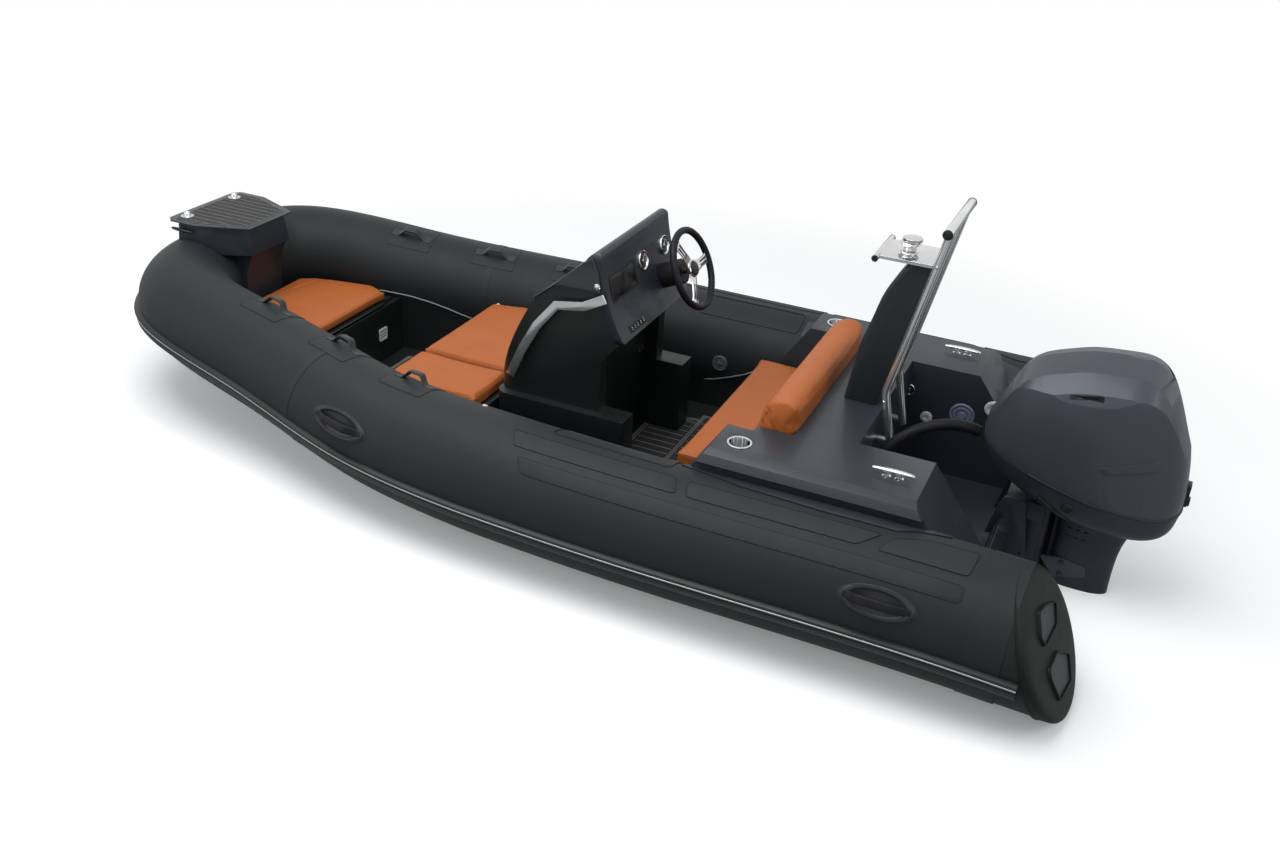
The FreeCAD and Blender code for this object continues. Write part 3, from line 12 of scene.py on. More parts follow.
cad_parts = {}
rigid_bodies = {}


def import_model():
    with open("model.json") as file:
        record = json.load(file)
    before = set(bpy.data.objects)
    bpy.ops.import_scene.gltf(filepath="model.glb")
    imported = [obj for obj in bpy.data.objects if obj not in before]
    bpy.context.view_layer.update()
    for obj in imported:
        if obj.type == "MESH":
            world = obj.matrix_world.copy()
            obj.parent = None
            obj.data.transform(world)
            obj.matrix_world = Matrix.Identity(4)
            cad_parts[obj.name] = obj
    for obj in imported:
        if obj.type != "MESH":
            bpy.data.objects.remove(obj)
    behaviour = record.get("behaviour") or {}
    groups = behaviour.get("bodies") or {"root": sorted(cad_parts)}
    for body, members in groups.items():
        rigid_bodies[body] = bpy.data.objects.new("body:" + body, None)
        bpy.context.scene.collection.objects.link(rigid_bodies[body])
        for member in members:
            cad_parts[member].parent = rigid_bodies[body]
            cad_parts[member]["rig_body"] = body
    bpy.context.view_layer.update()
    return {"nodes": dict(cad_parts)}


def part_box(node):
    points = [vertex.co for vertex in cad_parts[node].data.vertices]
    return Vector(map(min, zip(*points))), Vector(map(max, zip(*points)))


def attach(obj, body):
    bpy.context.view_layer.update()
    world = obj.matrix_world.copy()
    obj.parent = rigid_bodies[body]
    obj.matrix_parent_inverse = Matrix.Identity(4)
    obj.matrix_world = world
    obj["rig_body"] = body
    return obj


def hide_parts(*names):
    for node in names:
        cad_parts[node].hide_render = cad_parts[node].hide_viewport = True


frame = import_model()
nodes = frame["nodes"]
scene = bpy.context.scene

# %% [markdown]
# ## The camera
# The photograph looks down on the port quarter.  A camera in Blender looks along its own -Z, so the
# turn is built from three directions: where it looks, its up and its right.  A long lens would
# flatten the boat, and this one is as wide as the photograph's own.

# %% Camera at the photograph's angle
CAMERA_PLACE = Vector((-0.2534, 4.3682, 2.7463))
CAMERA_LOOK = Vector((0.34122, -0.80890, -0.47880))
CAMERA_UP = Vector((0.24085, -0.41713, 0.87635))
SENSOR_WIDTH = 36.0
LENS = 35.30


def add_camera():
    data = bpy.data.cameras.new("camera")
    data.sensor_width = SENSOR_WIDTH
    data.lens = LENS
    data.clip_start = 0.05
    camera = bpy.data.objects.new("camera", data)
    right = CAMERA_LOOK.cross(CAMERA_UP).normalized()
    up = right.cross(CAMERA_LOOK).normalized()
    turn = Matrix((right, up, -CAMERA_LOOK.normalized())).transposed()
    camera.matrix_world = Matrix.Translation(CAMERA_PLACE) @ turn.to_4x4()
    scene.collection.objects.link(camera)
    scene.camera = camera


add_camera()

# %% [markdown]
# ## Floor and light
# The floor stands for the water's surface, so it is one pale plane at z = 0.  Its shader mixes in
# plain white where the camera sees it far from the boat, and keeps the contact shadow.  Light that
# bounces up from it is dimmer, as from water, so the undersides of the tubes stay dark.
# Large area lamps give the wide soft highlights that dark rubber and gelcoat need to show their form.
# Metal and glass see the same white as the camera, because mirrored and passed rays are mixed in too.

# %% Studio
WORLD_WHITE = 1.0
WORLD_FILL = 0.46
SKY_TONE = (0.90, 0.96, 1.0, 1.0)
FLOOR_REACH = 60.0
FLOOR_GLOW = 0.16
FLOOR_TONE, FLOOR_BOUNCE = 0.93, 0.30
BOAT_MIDDLE = (1.7, 0.0, 0.3)
WHITE_FROM, WHITE_ALL = 2.2, 3.6


def white_for_seen_rays(tree, lit_socket, white_strength):
    """White to the camera, in mirrors and through glass, and the lit colour to every other ray."""
    path = tree.nodes.new("ShaderNodeLightPath")
    seen = path.outputs["Is Camera Ray"]
    for ray in ("Is Glossy Ray", "Is Transmission Ray"):
        either = tree.nodes.new("ShaderNodeMath")
        either.operation = "MAXIMUM"
        tree.links.new(seen, either.inputs[0])
        tree.links.new(path.outputs[ray], either.inputs[1])
        seen = either.outputs[0]
    mix = tree.nodes.new("ShaderNodeMixShader")
    glow = tree.nodes.new("ShaderNodeBackground")
    glow.inputs["Color"].default_value = (1.0, 1.0, 1.0, 1.0)
    glow.inputs["Strength"].default_value = white_strength
    tree.links.new(seen, mix.inputs["Fac"])
    tree.links.new(lit_socket, mix.inputs[1])
    tree.links.new(glow.outputs[0], mix.inputs[2])
    return mix.outputs[0]


def add_world():
    world = bpy.data.worlds.new("studio")
    world.use_nodes = True
    tree = world.node_tree
    fill = tree.nodes["Background"]
    fill.inputs["Color"].default_value = SKY_TONE
    fill.inputs["Strength"].default_value = WORLD_FILL
    out = tree.nodes["World Output"]
    tree.links.new(white_for_seen_rays(tree, fill.outputs[0], WORLD_WHITE), out.inputs["Surface"])
    scene.world = world


def add_floor():
    mesh = bpy.data.meshes.new("floor")
    corners = [(sx * FLOOR_REACH, sy * FLOOR_REACH, 0.0) for sx, sy in ((-1, -1), (1, -1), (1, 1), (-1, 1))]
    mesh.from_pydata(corners, [], [(0, 1, 2, 3)])
    floor = bpy.data.objects.new("floor", mesh)
    scene.collection.objects.link(floor)
    made = bpy.data.materials.new("floor_white")
    made.use_nodes = True
    tree = made.node_tree
    shader = tree.nodes["Principled BSDF"]
    path = tree.nodes.new("ShaderNodeLightPath")
    tone = tree.nodes.new("ShaderNodeMix")
    tone.data_type = "RGBA"
    tone.inputs["A"].default_value = (FLOOR_BOUNCE, FLOOR_BOUNCE, FLOOR_BOUNCE, 1.0)
    tone.inputs["B"].default_value = (FLOOR_TONE, FLOOR_TONE, FLOOR_TONE, 1.0)
    tree.links.new(path.outputs["Is Camera Ray"], tone.inputs["Factor"])
    tree.links.new(tone.outputs["Result"], shader.inputs["Base Color"])
    shader.inputs["Roughness"].default_value = 0.9
    shader.inputs["Specular IOR Level"].default_value = 0.0
    shader.inputs["Emission Color"].default_value = (1.0, 1.0, 1.0, 1.0)
    shader.inputs["Emission Strength"].default_value = FLOOR_GLOW
    place = tree.nodes.new("ShaderNodeNewGeometry")
    away = tree.nodes.new("ShaderNodeVectorMath")
    away.operation = "DISTANCE"
    away.inputs[1].default_value = BOAT_MIDDLE
    fade = tree.nodes.new("ShaderNodeMapRange")
    fade.inputs["From Min"].default_value, fade.inputs["From Max"].default_value = WHITE_FROM, WHITE_ALL
    glow = tree.nodes.new("ShaderNodeEmission")
    mix = tree.nodes.new("ShaderNodeMixShader")
    link = tree.links.new
    link(place.outputs["Position"], away.inputs[0])
    link(away.outputs["Value"], fade.inputs["Value"])
    seen = tree.nodes.new("ShaderNodeMath")
    seen.operation = "MULTIPLY"
    link(fade.outputs["Result"], seen.inputs[0])
    link(path.outputs["Is Camera Ray"], seen.inputs[1])
    link(seen.outputs[0], mix.inputs["Fac"])
    link(shader.outputs[0], mix.inputs[1])
    link(glow.outputs[0], mix.inputs[2])
    link(mix.outputs[0], tree.nodes["Material Output"].inputs["Surface"])
    mesh.materials.append(made)


def add_lamp(name, place, aim, size, watts):
    data = bpy.data.lights.new(name, "AREA")
    data.shape = "RECTANGLE"
    data.size, data.size_y = size
    data.energy = watts
    lamp = bpy.data.objects.new(name, data)
    turn = (Vector(place) - Vector(aim)).to_track_quat("Z", "Y").to_matrix()
    lamp.matrix_world = Matrix.Translation(place) @ turn.to_4x4()
    scene.collection.objects.link(lamp)


add_world()
add_floor()
add_lamp("overhead", (2.4, 1.2, 4.2), BOAT_MIDDLE, (5.0, 3.0), 175.0)
add_lamp("bow_side", (6.0, 4.2, 2.6), BOAT_MIDDLE, (2.5, 2.5), 45.0)
add_lamp("stern_side", (-3.0, 1.0, 2.8), (-0.1, 0.0, 0.6), (2.0, 2.0), 32.0)

# %% [markdown]
# ## Finishes
# Each finish is one function call.  A cloud of noise shifts the tone a little, a second one makes the
# gloss uneven, and a fine grain is pressed in as bump.  All read Object coordinates, so the pattern
# stays on the piece when a joint moves it.  Sheen, coat and metal are the same all over, so they are
# set straight on the shader.

# %% Finish maker
def node(tree, kind, **values):
    made = tree.nodes.new(kind)
    for key, value in values.items():
        setattr(made, key, value)
    return made


def grain_bump(tree, shader, texture_output, depth, below=None):
    bump = node(tree, "ShaderNodeBump")
    bump.inputs["Strength"].default_value = 1.0
    bump.inputs["Distance"].default_value = depth
    tree.links.new(texture_output, bump.inputs["Height"])
    if below is not None:
        tree.links.new(below.outputs["Normal"], bump.inputs["Normal"])
    tree.links.new(bump.outputs["Normal"], shader.inputs["Normal"])
    return bump


def finish(name, tone, rough, spread=0.12, cloud_scale=7.0, grain_scale=700.0, grain_depth=0.0001,
           metal=0.0, coat=0.0, sheen=0.0, level=0.32, coat_rough=0.08, waves=0.0):
    """A mottled, grained surface: tone is linear RGB, rough a (low, high) pair."""
    made = bpy.data.materials.new(name)
    made.use_nodes = True
    tree = made.node_tree
    shader = tree.nodes["Principled BSDF"]
    place = node(tree, "ShaderNodeTexCoord")
    cloud = node(tree, "ShaderNodeTexNoise")
    cloud.inputs["Scale"].default_value = cloud_scale
    cloud.inputs["Detail"].default_value = 4.0
    tree.links.new(place.outputs["Object"], cloud.inputs["Vector"])
    ramp = node(tree, "ShaderNodeValToRGB")
    low, high = ramp.color_ramp.elements
    low.position, high.position = 0.3, 0.7
    low.color = [c * (1 - spread) for c in tone] + [1.0]
    high.color = [c * (1 + spread) for c in tone] + [1.0]
    tree.links.new(cloud.outputs["Fac"], ramp.inputs["Fac"])
    tree.links.new(ramp.outputs["Color"], shader.inputs["Base Color"])
    gloss = node(tree, "ShaderNodeMapRange")
    gloss.inputs["To Min"].default_value, gloss.inputs["To Max"].default_value = rough
    smear = node(tree, "ShaderNodeTexNoise")
    smear.inputs["Scale"].default_value = cloud_scale * 2.6
    tree.links.new(place.outputs["Object"], smear.inputs["Vector"])
    tree.links.new(smear.outputs["Fac"], gloss.inputs["Value"])
    tree.links.new(gloss.outputs["Result"], shader.inputs["Roughness"])
    grain = node(tree, "ShaderNodeTexNoise")
    grain.inputs["Scale"].default_value = grain_scale
    tree.links.new(place.outputs["Object"], grain.inputs["Vector"])
    below = grain_bump(tree, shader, grain.outputs["Fac"], grain_depth)
    if waves:
        swell = node(tree, "ShaderNodeTexNoise")
        swell.inputs["Scale"].default_value = 5.0
        tree.links.new(place.outputs["Object"], swell.inputs["Vector"])
        grain_bump(tree, shader, swell.outputs["Fac"], waves, below)
    shader.inputs["Metallic"].default_value = metal
    shader.inputs["Coat Weight"].default_value = coat
    shader.inputs["Coat Roughness"].default_value = coat_rough
    shader.inputs["Sheen Weight"].default_value = sheen
    shader.inputs["Specular IOR Level"].default_value = level
    return made


# %% [markdown]
# Coated tube fabric is a woven cloth under a rubber skin: two crossed waves in the piece's own UV
# metres give the faint weave, and a slow swell keeps the long tubes from looking machined.
# Vinyl has a cell pattern instead, which is what its embossing roller leaves.

# %% Woven and embossed finishes
def add_weave(made, pitch, depth):
    """Two crossed bands, read from the UV map, pressed over the grain."""
    tree = made.node_tree
    shader = tree.nodes["Principled BSDF"]
    under = shader.inputs["Normal"].links[0].from_node
    uv = node(tree, "ShaderNodeUVMap")
    total = node(tree, "ShaderNodeMath", operation="ADD")
    for index, way in enumerate(("X", "Y")):
        band = node(tree, "ShaderNodeTexWave", bands_direction=way)
        band.inputs["Scale"].default_value = 0.3142 / pitch
        tree.links.new(uv.outputs["UV"], band.inputs["Vector"])
        tree.links.new(band.outputs["Fac"], total.inputs[index])
    grain_bump(tree, shader, total.outputs[0], depth, under)
    return made


def add_cells(made, scale, depth):
    """Embossed cells, as in leather and vinyl."""
    tree = made.node_tree
    shader = tree.nodes["Principled BSDF"]
    under = shader.inputs["Normal"].links[0].from_node
    place = node(tree, "ShaderNodeTexCoord")
    cells = node(tree, "ShaderNodeTexVoronoi", feature="DISTANCE_TO_EDGE")
    cells.inputs["Scale"].default_value = scale
    tree.links.new(place.outputs["Object"], cells.inputs["Vector"])
    grain_bump(tree, shader, cells.outputs["Distance"], depth, under)
    return made


# %% The boat's finishes
tube_fabric = add_weave(finish("tube_fabric", (0.0108, 0.0134, 0.0150), (0.52, 0.62), 0.10, 3.0,
                               grain_depth=0.00006, sheen=0.04, level=0.22, waves=0.0012), 0.0022, 0.00005)
patch_fabric = add_weave(finish("patch_fabric", (0.0112, 0.0138, 0.0155), (0.50, 0.60), 0.10, 6.0,
                                grain_depth=0.00008, sheen=0.04, level=0.22), 0.0022, 0.00005)
pad_rubber = add_cells(finish("pad_rubber", (0.0108, 0.0134, 0.0150), (0.62, 0.72), 0.10, 8.0), 420.0,
                       0.0004)
# Edge beads: a glue line, darkened further as painted shadow along the edges of pads, patches and strips.
seam_tape = finish("seam_tape", (0.0065, 0.0080, 0.0090), (0.46, 0.56), 0.08, 12.0, level=0.24)
strake_rubber = finish("strake_rubber", (0.0085, 0.0092, 0.0100), (0.36, 0.46), 0.15, 14.0)
silver_line = finish("silver_line", (0.40, 0.41, 0.42), (0.28, 0.38), 0.06, 20.0, metal=0.6)
dim_line = finish("dim_line", (0.060, 0.064, 0.068), (0.34, 0.44), 0.06, 20.0, metal=0.3)
cap_rubber = finish("cap_rubber", (0.0046, 0.0062, 0.0060), (0.46, 0.56), 0.10, 6.0, grain_scale=420.0,
                    level=0.20)
cap_panel = finish("cap_panel", (0.034, 0.043, 0.044), (0.48, 0.56), 0.08, 9.0, grain_scale=420.0)
hull_gelcoat = finish("hull_gelcoat", (0.012, 0.014, 0.016), (0.16, 0.24), 0.1, 2.0, coat=0.6)
liner_gelcoat = finish("liner_gelcoat", (0.0075, 0.0100, 0.0098), (0.34, 0.46), 0.08, 5.0, coat=0.06)
deck_gelcoat = finish("deck_gelcoat", (0.021, 0.027, 0.034), (0.36, 0.46), 0.05, 5.0, coat=0.08)
console_gelcoat = finish("console_gelcoat", (0.0072, 0.0098, 0.0096), (0.32, 0.42), 0.06, 6.0, coat=0.08)
fin_gelcoat = finish("fin_gelcoat", (0.015, 0.0195, 0.0212), (0.38, 0.48), 0.06, 6.0, coat=0.05)
dash_gelcoat = finish("dash_gelcoat", (0.0165, 0.0215, 0.0280), (0.34, 0.42), 0.04, 6.0, coat=0.08)
orange_vinyl = add_cells(finish("orange_vinyl", (0.385, 0.100, 0.018), (0.46, 0.56), 0.05, 9.0,
                                grain_depth=0.00005, sheen=0.02), 330.0, 0.0003)
vinyl_piping = finish("vinyl_piping", (0.20, 0.062, 0.018), (0.42, 0.52), 0.1, 30.0)
seam_thread = finish("seam_thread", (0.30, 0.11, 0.035), (0.5, 0.6), 0.1, 60.0)
STEEL_GRAIN = 0.00001
mast_steel = finish("mast_steel", (0.70, 0.71, 0.71), (0.14, 0.24), 0.06, 9.0, metal=0.9,
                    grain_depth=STEEL_GRAIN)
polished_steel = finish("polished_steel", (0.62, 0.62, 0.63), (0.05, 0.14), 0.04, 12.0, metal=1.0,
                        grain_depth=STEEL_GRAIN)
smoked_screen = finish("smoked_screen", (0.018, 0.021, 0.024), (0.05, 0.10), 0.05, 4.0, coat=0.8)
black_plastic = finish("black_plastic", (0.010, 0.010, 0.011), (0.38, 0.48), 0.15, 12.0)
gloss_black = finish("gloss_black", (0.005, 0.005, 0.006), (0.20, 0.28), 0.1, 8.0, coat=0.1)
white_plastic = finish("white_plastic", (0.62, 0.63, 0.62), (0.34, 0.44), 0.05, 20.0)
grey_plastic = finish("grey_plastic", (0.10, 0.105, 0.105), (0.40, 0.50), 0.1, 30.0)
blue_plastic = finish("blue_plastic", (0.17, 0.18, 0.26), (0.40, 0.50), 0.08, 30.0)
cowl_paint = finish("cowl_paint", (0.050, 0.058, 0.074), (0.34, 0.42), 0.03, 4.0, metal=0.2, coat=0.12,
                    grain_scale=1500.0, grain_depth=0.00002)
engine_paint = finish("engine_paint", (0.026, 0.030, 0.042), (0.36, 0.46), 0.06, 8.0, metal=0.15, coat=0.08)
propeller_paint = finish("propeller_paint", (0.014, 0.014, 0.018), (0.2, 0.3), 0.12, 12.0, coat=0.3)
hose_rubber = finish("hose_rubber", (0.006, 0.006, 0.009), (0.44, 0.56), 0.15, 20.0, level=0.20)
strap_webbing = add_cells(finish("strap_webbing", (0.020, 0.024, 0.026), (0.58, 0.70), 0.15, 20.0,
                                 sheen=0.1), 500.0, 0.0004)
handle_rubber = finish("handle_rubber", (0.016, 0.018, 0.020), (0.36, 0.46), 0.15, 16.0)
tread_foam = finish("tread_foam", (0.024, 0.024, 0.0245), (0.66, 0.78), 0.14, 30.0, grain_depth=0.0003)
tread_line = finish("tread_line", (0.22, 0.22, 0.215), (0.60, 0.70), 0.1, 30.0)
flange_line = finish("flange_line", (0.20, 0.23, 0.245), (0.35, 0.45), 0.08, 15.0)
print("finishes", len(bpy.data.materials))

# %% [markdown]
# ## Tools for making meshes
# Most pieces here start in one of four ways: a loft through rings, a flat outline given thickness,
# a profile turned about an axis, or a rod swept along a path.  Each way ends in the same two steps:
# doubles are merged and normals turned outward, then edges sharper than a set angle stay crisp.
# Each finished piece rides on the body that carries it, so that it moves with that body's joint.

# %% Mesh helpers
WELD = 1e-5
SOLID_WELD = 5e-5
CRISP_ANGLE = 34
UP, DOWN = (0, 0, 1), (0, 0, -1)
AHEAD, ASTERN = (1, 0, 0), (-1, 0, 0)
TO_PORT, TO_STARBOARD = (0, 1, 0), (0, -1, 0)


def turn_steps(count):
    """The angles of equal steps round a circle."""
    return [2 * math.pi * k / count for k in range(count)]


def middle_of(outline):
    return sum(outline, Vector((0, 0))) / len(outline)


def mirrored(ring):
    """The same points on the other side of the boat."""
    return [Vector((p.x, -p.y, p.z)) for p in ring]


def solid_copy(node_name):
    """A CAD solid's mesh as a bmesh whose loose triangles are joined."""
    work = bmesh.new()
    work.from_mesh(nodes[node_name].data)
    bmesh.ops.remove_doubles(work, verts=work.verts, dist=SOLID_WELD)
    return work


def to_mesh(name, work, crisp_angle=CRISP_ANGLE):
    """Welds a bmesh, turns it outward, shades it and returns a mesh; the angle is in degrees."""
    bmesh.ops.remove_doubles(work, verts=work.verts, dist=WELD)
    bmesh.ops.recalc_face_normals(work, faces=work.faces)
    for face in work.faces:
        face.smooth = True
    for edge in work.edges:
        edge.smooth = edge.calc_face_angle(0.0) < math.radians(crisp_angle)
    mesh = bpy.data.meshes.new(name)
    work.to_mesh(mesh)
    work.free()
    return mesh


def piece(name, mesh, material, body, replaced=()):
    """Puts a finished mesh in the scene with its finish, on the body that carries it."""
    thing = bpy.data.objects.new(name, mesh)
    scene.collection.objects.link(thing)
    if not mesh.materials:
        mesh.materials.append(material)
    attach(thing, body)
    if replaced:
        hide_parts(*replaced)
    print(name, "on", body, "faces", len(mesh.polygons))
    return thing


def boat_piece(name, work, material, crisp_angle=CRISP_ANGLE, replaced=()):
    """Turns a bmesh into a piece on the boat itself."""
    return piece(name, to_mesh(name, work, crisp_angle), material, "boat", replaced)


def loft(work, rings, closed=True, caps=True):
    """Quads between rings of points that have equal counts, and flat ends."""
    layers = [[work.verts.new(p) for p in ring] for ring in rings]
    count = len(layers[0])
    last = count if closed else count - 1
    for low, high in zip(layers, layers[1:]):
        for i in range(last):
            j = (i + 1) % count
            work.faces.new((low[i], low[j], high[j], high[i]))
    if caps:
        work.faces.new(list(reversed(layers[0])))
        work.faces.new(layers[-1])
    return layers


def bevel_sharp(work, width, steps=3, angle=30.0):
    """Rounds every edge that turns by more than an angle in degrees."""
    bmesh.ops.remove_doubles(work, verts=work.verts, dist=WELD)
    sharp = [e for e in work.edges
             if len(e.link_faces) == 2 and e.calc_face_angle(0.0) > math.radians(angle)]
    if sharp:
        bmesh.ops.bevel(work, geom=sharp, offset=width, segments=steps, profile=0.5,
                        affect="EDGES", clamp_overlap=True)


def slab(work, outline, thickness):
    """A closed outline of 3-D points in one plane, given a thickness vector."""
    step = Vector(thickness)
    loft(work, [[Vector(p) for p in outline], [Vector(p) + step for p in outline]])


def lathe(work, profile, centre, axis, steps=40):
    """Turns a profile of (distance along the axis, radius) about it."""
    turn = Vector(axis).to_track_quat("Z", "Y").to_matrix()
    rings = []
    for along, radius in profile:
        rings.append([Vector(centre) + turn @ Vector((radius * math.cos(a), radius * math.sin(a), along))
                      for a in turn_steps(steps)])
    loft(work, rings)


def path_frames(points):
    """A direction and a steady side vector at each point of a path."""
    frames = []
    side = None
    for i, point in enumerate(points):
        along = (points[min(i + 1, len(points) - 1)] - points[max(i - 1, 0)]).normalized()
        if side is None:
            side = along.orthogonal().normalized()
        side = (side - along * side.dot(along)).normalized()
        frames.append((point, along, side))
    return frames


def rod(work, points, radius, sides):
    """A round rod along a path."""
    rings = []
    for point, along, side in path_frames([Vector(p) for p in points]):
        across = along.cross(side)
        rings.append([point + (side * math.cos(a) + across * math.sin(a)) * radius
                      for a in turn_steps(sides)])
    loft(work, rings)


def closed_bead(work, points, outs, radius, sides):
    """A round bead along a closed line of points, each with its outward direction."""
    rings = []
    for i, (point, out) in enumerate(zip(points, outs)):
        along = (points[(i + 1) % len(points)] - points[i - 1]).normalized()
        across = along.cross(out).normalized()
        rings.append([point + (across * math.cos(a) + out * math.sin(a)) * radius
                      for a in turn_steps(sides)])
    loft(work, rings + [rings[0]], caps=False)


def mirror_mesh(work):
    """Adds the same shape on the other side of the boat."""
    twin = bmesh.ops.duplicate(work, geom=work.verts[:] + work.edges[:] + work.faces[:])
    for v in twin["geom"]:
        if isinstance(v, bmesh.types.BMVert):
            v.co.y = -v.co.y
    flipped = [f for f in twin["geom"] if isinstance(f, bmesh.types.BMFace)]
    bmesh.ops.reverse_faces(work, faces=flipped)


# %% [markdown]
# Moulded parts never have knife edges.  Where a CAD solid already has the right form, a copy of its
# mesh is welded, its flat regions are joined into whole faces, and its sharp edges are rounded.
# The copy then stands in for the solid, which stays in the frame untouched.

# %% Softened copies of moulded solids
FLAT_ANGLE = math.radians(1.2)


def softened(node_name, material, width, slot_name, steps=3, angle=28.0):
    """A welded copy of a solid with its sharp edges rounded, which stands in for the solid."""
    work = solid_copy(node_name)
    bmesh.ops.dissolve_limit(work, angle_limit=FLAT_ANGLE, verts=work.verts, edges=work.edges)
    bevel_sharp(work, width, steps, angle)
    name = node_name + "_moulded"
    return piece(name, to_mesh(name, work), material, nodes[node_name]["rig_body"], (node_name,))


# %% [markdown]
# Stitches, screws and ribs repeat along a line.  One Geometry Nodes tree serves them all: it
# resamples a guide line at a named pitch, stands a unit on each point with its Z along the stored
# outward direction and its X along the line, then realizes the copies so that the result is a mesh.

# %% Repeats along a guide, by Geometry Nodes
def repeat_tree():
    tree = bpy.data.node_groups.new("units_along_guide", "GeometryNodeTree")
    ports = tree.interface
    ports.new_socket("Guide", in_out="INPUT", socket_type="NodeSocketGeometry")
    ports.new_socket("Pitch", in_out="INPUT", socket_type="NodeSocketFloat")
    ports.new_socket("Unit", in_out="INPUT", socket_type="NodeSocketObject")
    ports.new_socket("Finish", in_out="INPUT", socket_type="NodeSocketMaterial")
    ports.new_socket("Repeats", in_out="OUTPUT", socket_type="NodeSocketGeometry")
    way_in = node(tree, "NodeGroupInput")
    way_out = node(tree, "NodeGroupOutput")
    curve = node(tree, "GeometryNodeMeshToCurve")
    spaced = node(tree, "GeometryNodeResampleCurve", mode="LENGTH")
    stand = node(tree, "GeometryNodeInstanceOnPoints")
    unit = node(tree, "GeometryNodeObjectInfo", transform_space="ORIGINAL")
    outward = node(tree, "GeometryNodeInputNamedAttribute", data_type="FLOAT_VECTOR")
    outward.inputs["Name"].default_value = "outward"
    tangent = node(tree, "GeometryNodeInputTangent")
    upright = node(tree, "FunctionNodeAlignRotationToVector", axis="Z")
    turned = node(tree, "FunctionNodeAlignRotationToVector", axis="X", pivot_axis="Z")
    real = node(tree, "GeometryNodeRealizeInstances")
    coat = node(tree, "GeometryNodeSetMaterial")
    link = tree.links.new
    link(way_in.outputs["Guide"], curve.inputs["Mesh"])
    link(curve.outputs["Curve"], spaced.inputs["Curve"])
    link(way_in.outputs["Pitch"], spaced.inputs["Length"])
    link(spaced.outputs["Curve"], stand.inputs["Points"])
    link(way_in.outputs["Unit"], unit.inputs["Object"])
    link(unit.outputs["Geometry"], stand.inputs["Instance"])
    link(outward.outputs["Attribute"], upright.inputs["Vector"])
    link(upright.outputs["Rotation"], turned.inputs["Rotation"])
    link(tangent.outputs["Tangent"], turned.inputs["Vector"])
    link(turned.outputs["Rotation"], stand.inputs["Rotation"])
    link(stand.outputs["Instances"], real.inputs["Geometry"])
    link(real.outputs["Geometry"], coat.inputs["Geometry"])
    link(way_in.outputs["Finish"], coat.inputs["Material"])
    link(coat.outputs["Geometry"], way_out.inputs["Repeats"])
    return tree


REPEATS = repeat_tree()


def socket_id(tree, label):
    return next(item.identifier for item in tree.interface.items_tree if item.name == label)


def settle_modifiers(thing, name):
    """The evaluated result of an object's modifiers as a plain mesh."""
    bpy.context.view_layer.update()
    evaluated = thing.evaluated_get(bpy.context.evaluated_depsgraph_get())
    mesh = bpy.data.meshes.new_from_object(evaluated)
    mesh.name = name
    bpy.data.objects.remove(thing)
    return mesh


def unit_object(name, build):
    work = bmesh.new()
    build(work)
    return bpy.data.objects.new(name, to_mesh(name, work))


def repeats_along(name, lines, pitch, unit, material, body):
    """Units along guide lines; a line is a list of (point, outward) pairs."""
    points, edges, outs = [], [], []
    for line in lines:
        start = len(points)
        points += [p for p, out in line]
        outs += [out for p, out in line]
        edges += [(start + i, start + i + 1) for i in range(len(line) - 1)]
    guide = bpy.data.meshes.new(name + "_guide")
    guide.from_pydata(points, edges, [])
    stored = guide.attributes.new("outward", "FLOAT_VECTOR", "POINT")
    stored.data.foreach_set("vector", [c for out in outs for c in out])
    thing = bpy.data.objects.new(name + "_guide", guide)
    scene.collection.objects.link(thing)
    modifier = thing.modifiers.new("repeats", "NODES")
    modifier.node_group = REPEATS
    modifier[socket_id(REPEATS, "Pitch")] = pitch
    modifier[socket_id(REPEATS, "Unit")] = unit
    modifier[socket_id(REPEATS, "Finish")] = material
    return piece(name, settle_modifiers(thing, name), material, body)


# %% [markdown]
# ## The inflated tubes
# Each tube is a circle carried along one smooth centreline: nearly straight along the sides, rising
# and closing in at the bow.  A cubic spline through the seven knots of the port side and their
# mirror images is the curve that the construction uses.  Everything glued on a tube, such as
# patches, pads and handles, is placed by its run along that line, its angle round the section
# (0 outboard, 90 on top, 180 inboard) and its height above the fabric.

# %% The centreline
PATH_START_X, PATH_RUN = -0.2, 3.995
PATH_SPREAD, PATH_STERN_Z, PATH_RISE = 0.819, 0.260, 0.197
PATH_X_SHARES = (0.0, 0.163, 0.326, 0.488, 0.648, 0.804, 0.958, 1.0)
PATH_Y_SHARES = (1.0, 0.985, 0.988, 0.969, 0.900, 0.724, 0.523, 0.0)
PATH_Z_SHARES = (0.0, 0.041, 0.036, 0.066, 0.198, 0.553, 0.934, 1.0)
STERN_RADIUS, BOW_RADIUS, TAPER_START_SHARE = 0.241, 0.195, 0.45
SLOPE_SWEEPS, TANGENT_STEP = 60, 0.004
SEAM_X, CHAMBER_X = -0.14, 2.70

port_knots = [Vector((PATH_START_X + PATH_RUN * x, PATH_SPREAD * y, PATH_STERN_Z + PATH_RISE * z))
              for x, y, z in zip(PATH_X_SHARES, PATH_Y_SHARES, PATH_Z_SHARES)]
BOW_PLACE = len(port_knots) - 1
knots = port_knots + mirrored(reversed(port_knots[:-1]))


def spline_slopes(points):
    """Slopes of the cubic spline whose end slopes come from the first and last four knots."""
    def end_slope(a, b, c, d):
        return (a * -11 + b * 18 - c * 9 + d * 2) / 6
    count = len(points)
    slopes = [(points[min(i + 1, count - 1)] - points[max(i - 1, 0)]) / 2 for i in range(count)]
    slopes[0] = end_slope(*points[:4])
    slopes[-1] = -end_slope(*reversed(points[-4:]))
    for _ in range(SLOPE_SWEEPS):
        for i in range(1, count - 1):
            slopes[i] = (3 * (points[i + 1] - points[i - 1]) - slopes[i - 1] - slopes[i + 1]) / 4
    return slopes


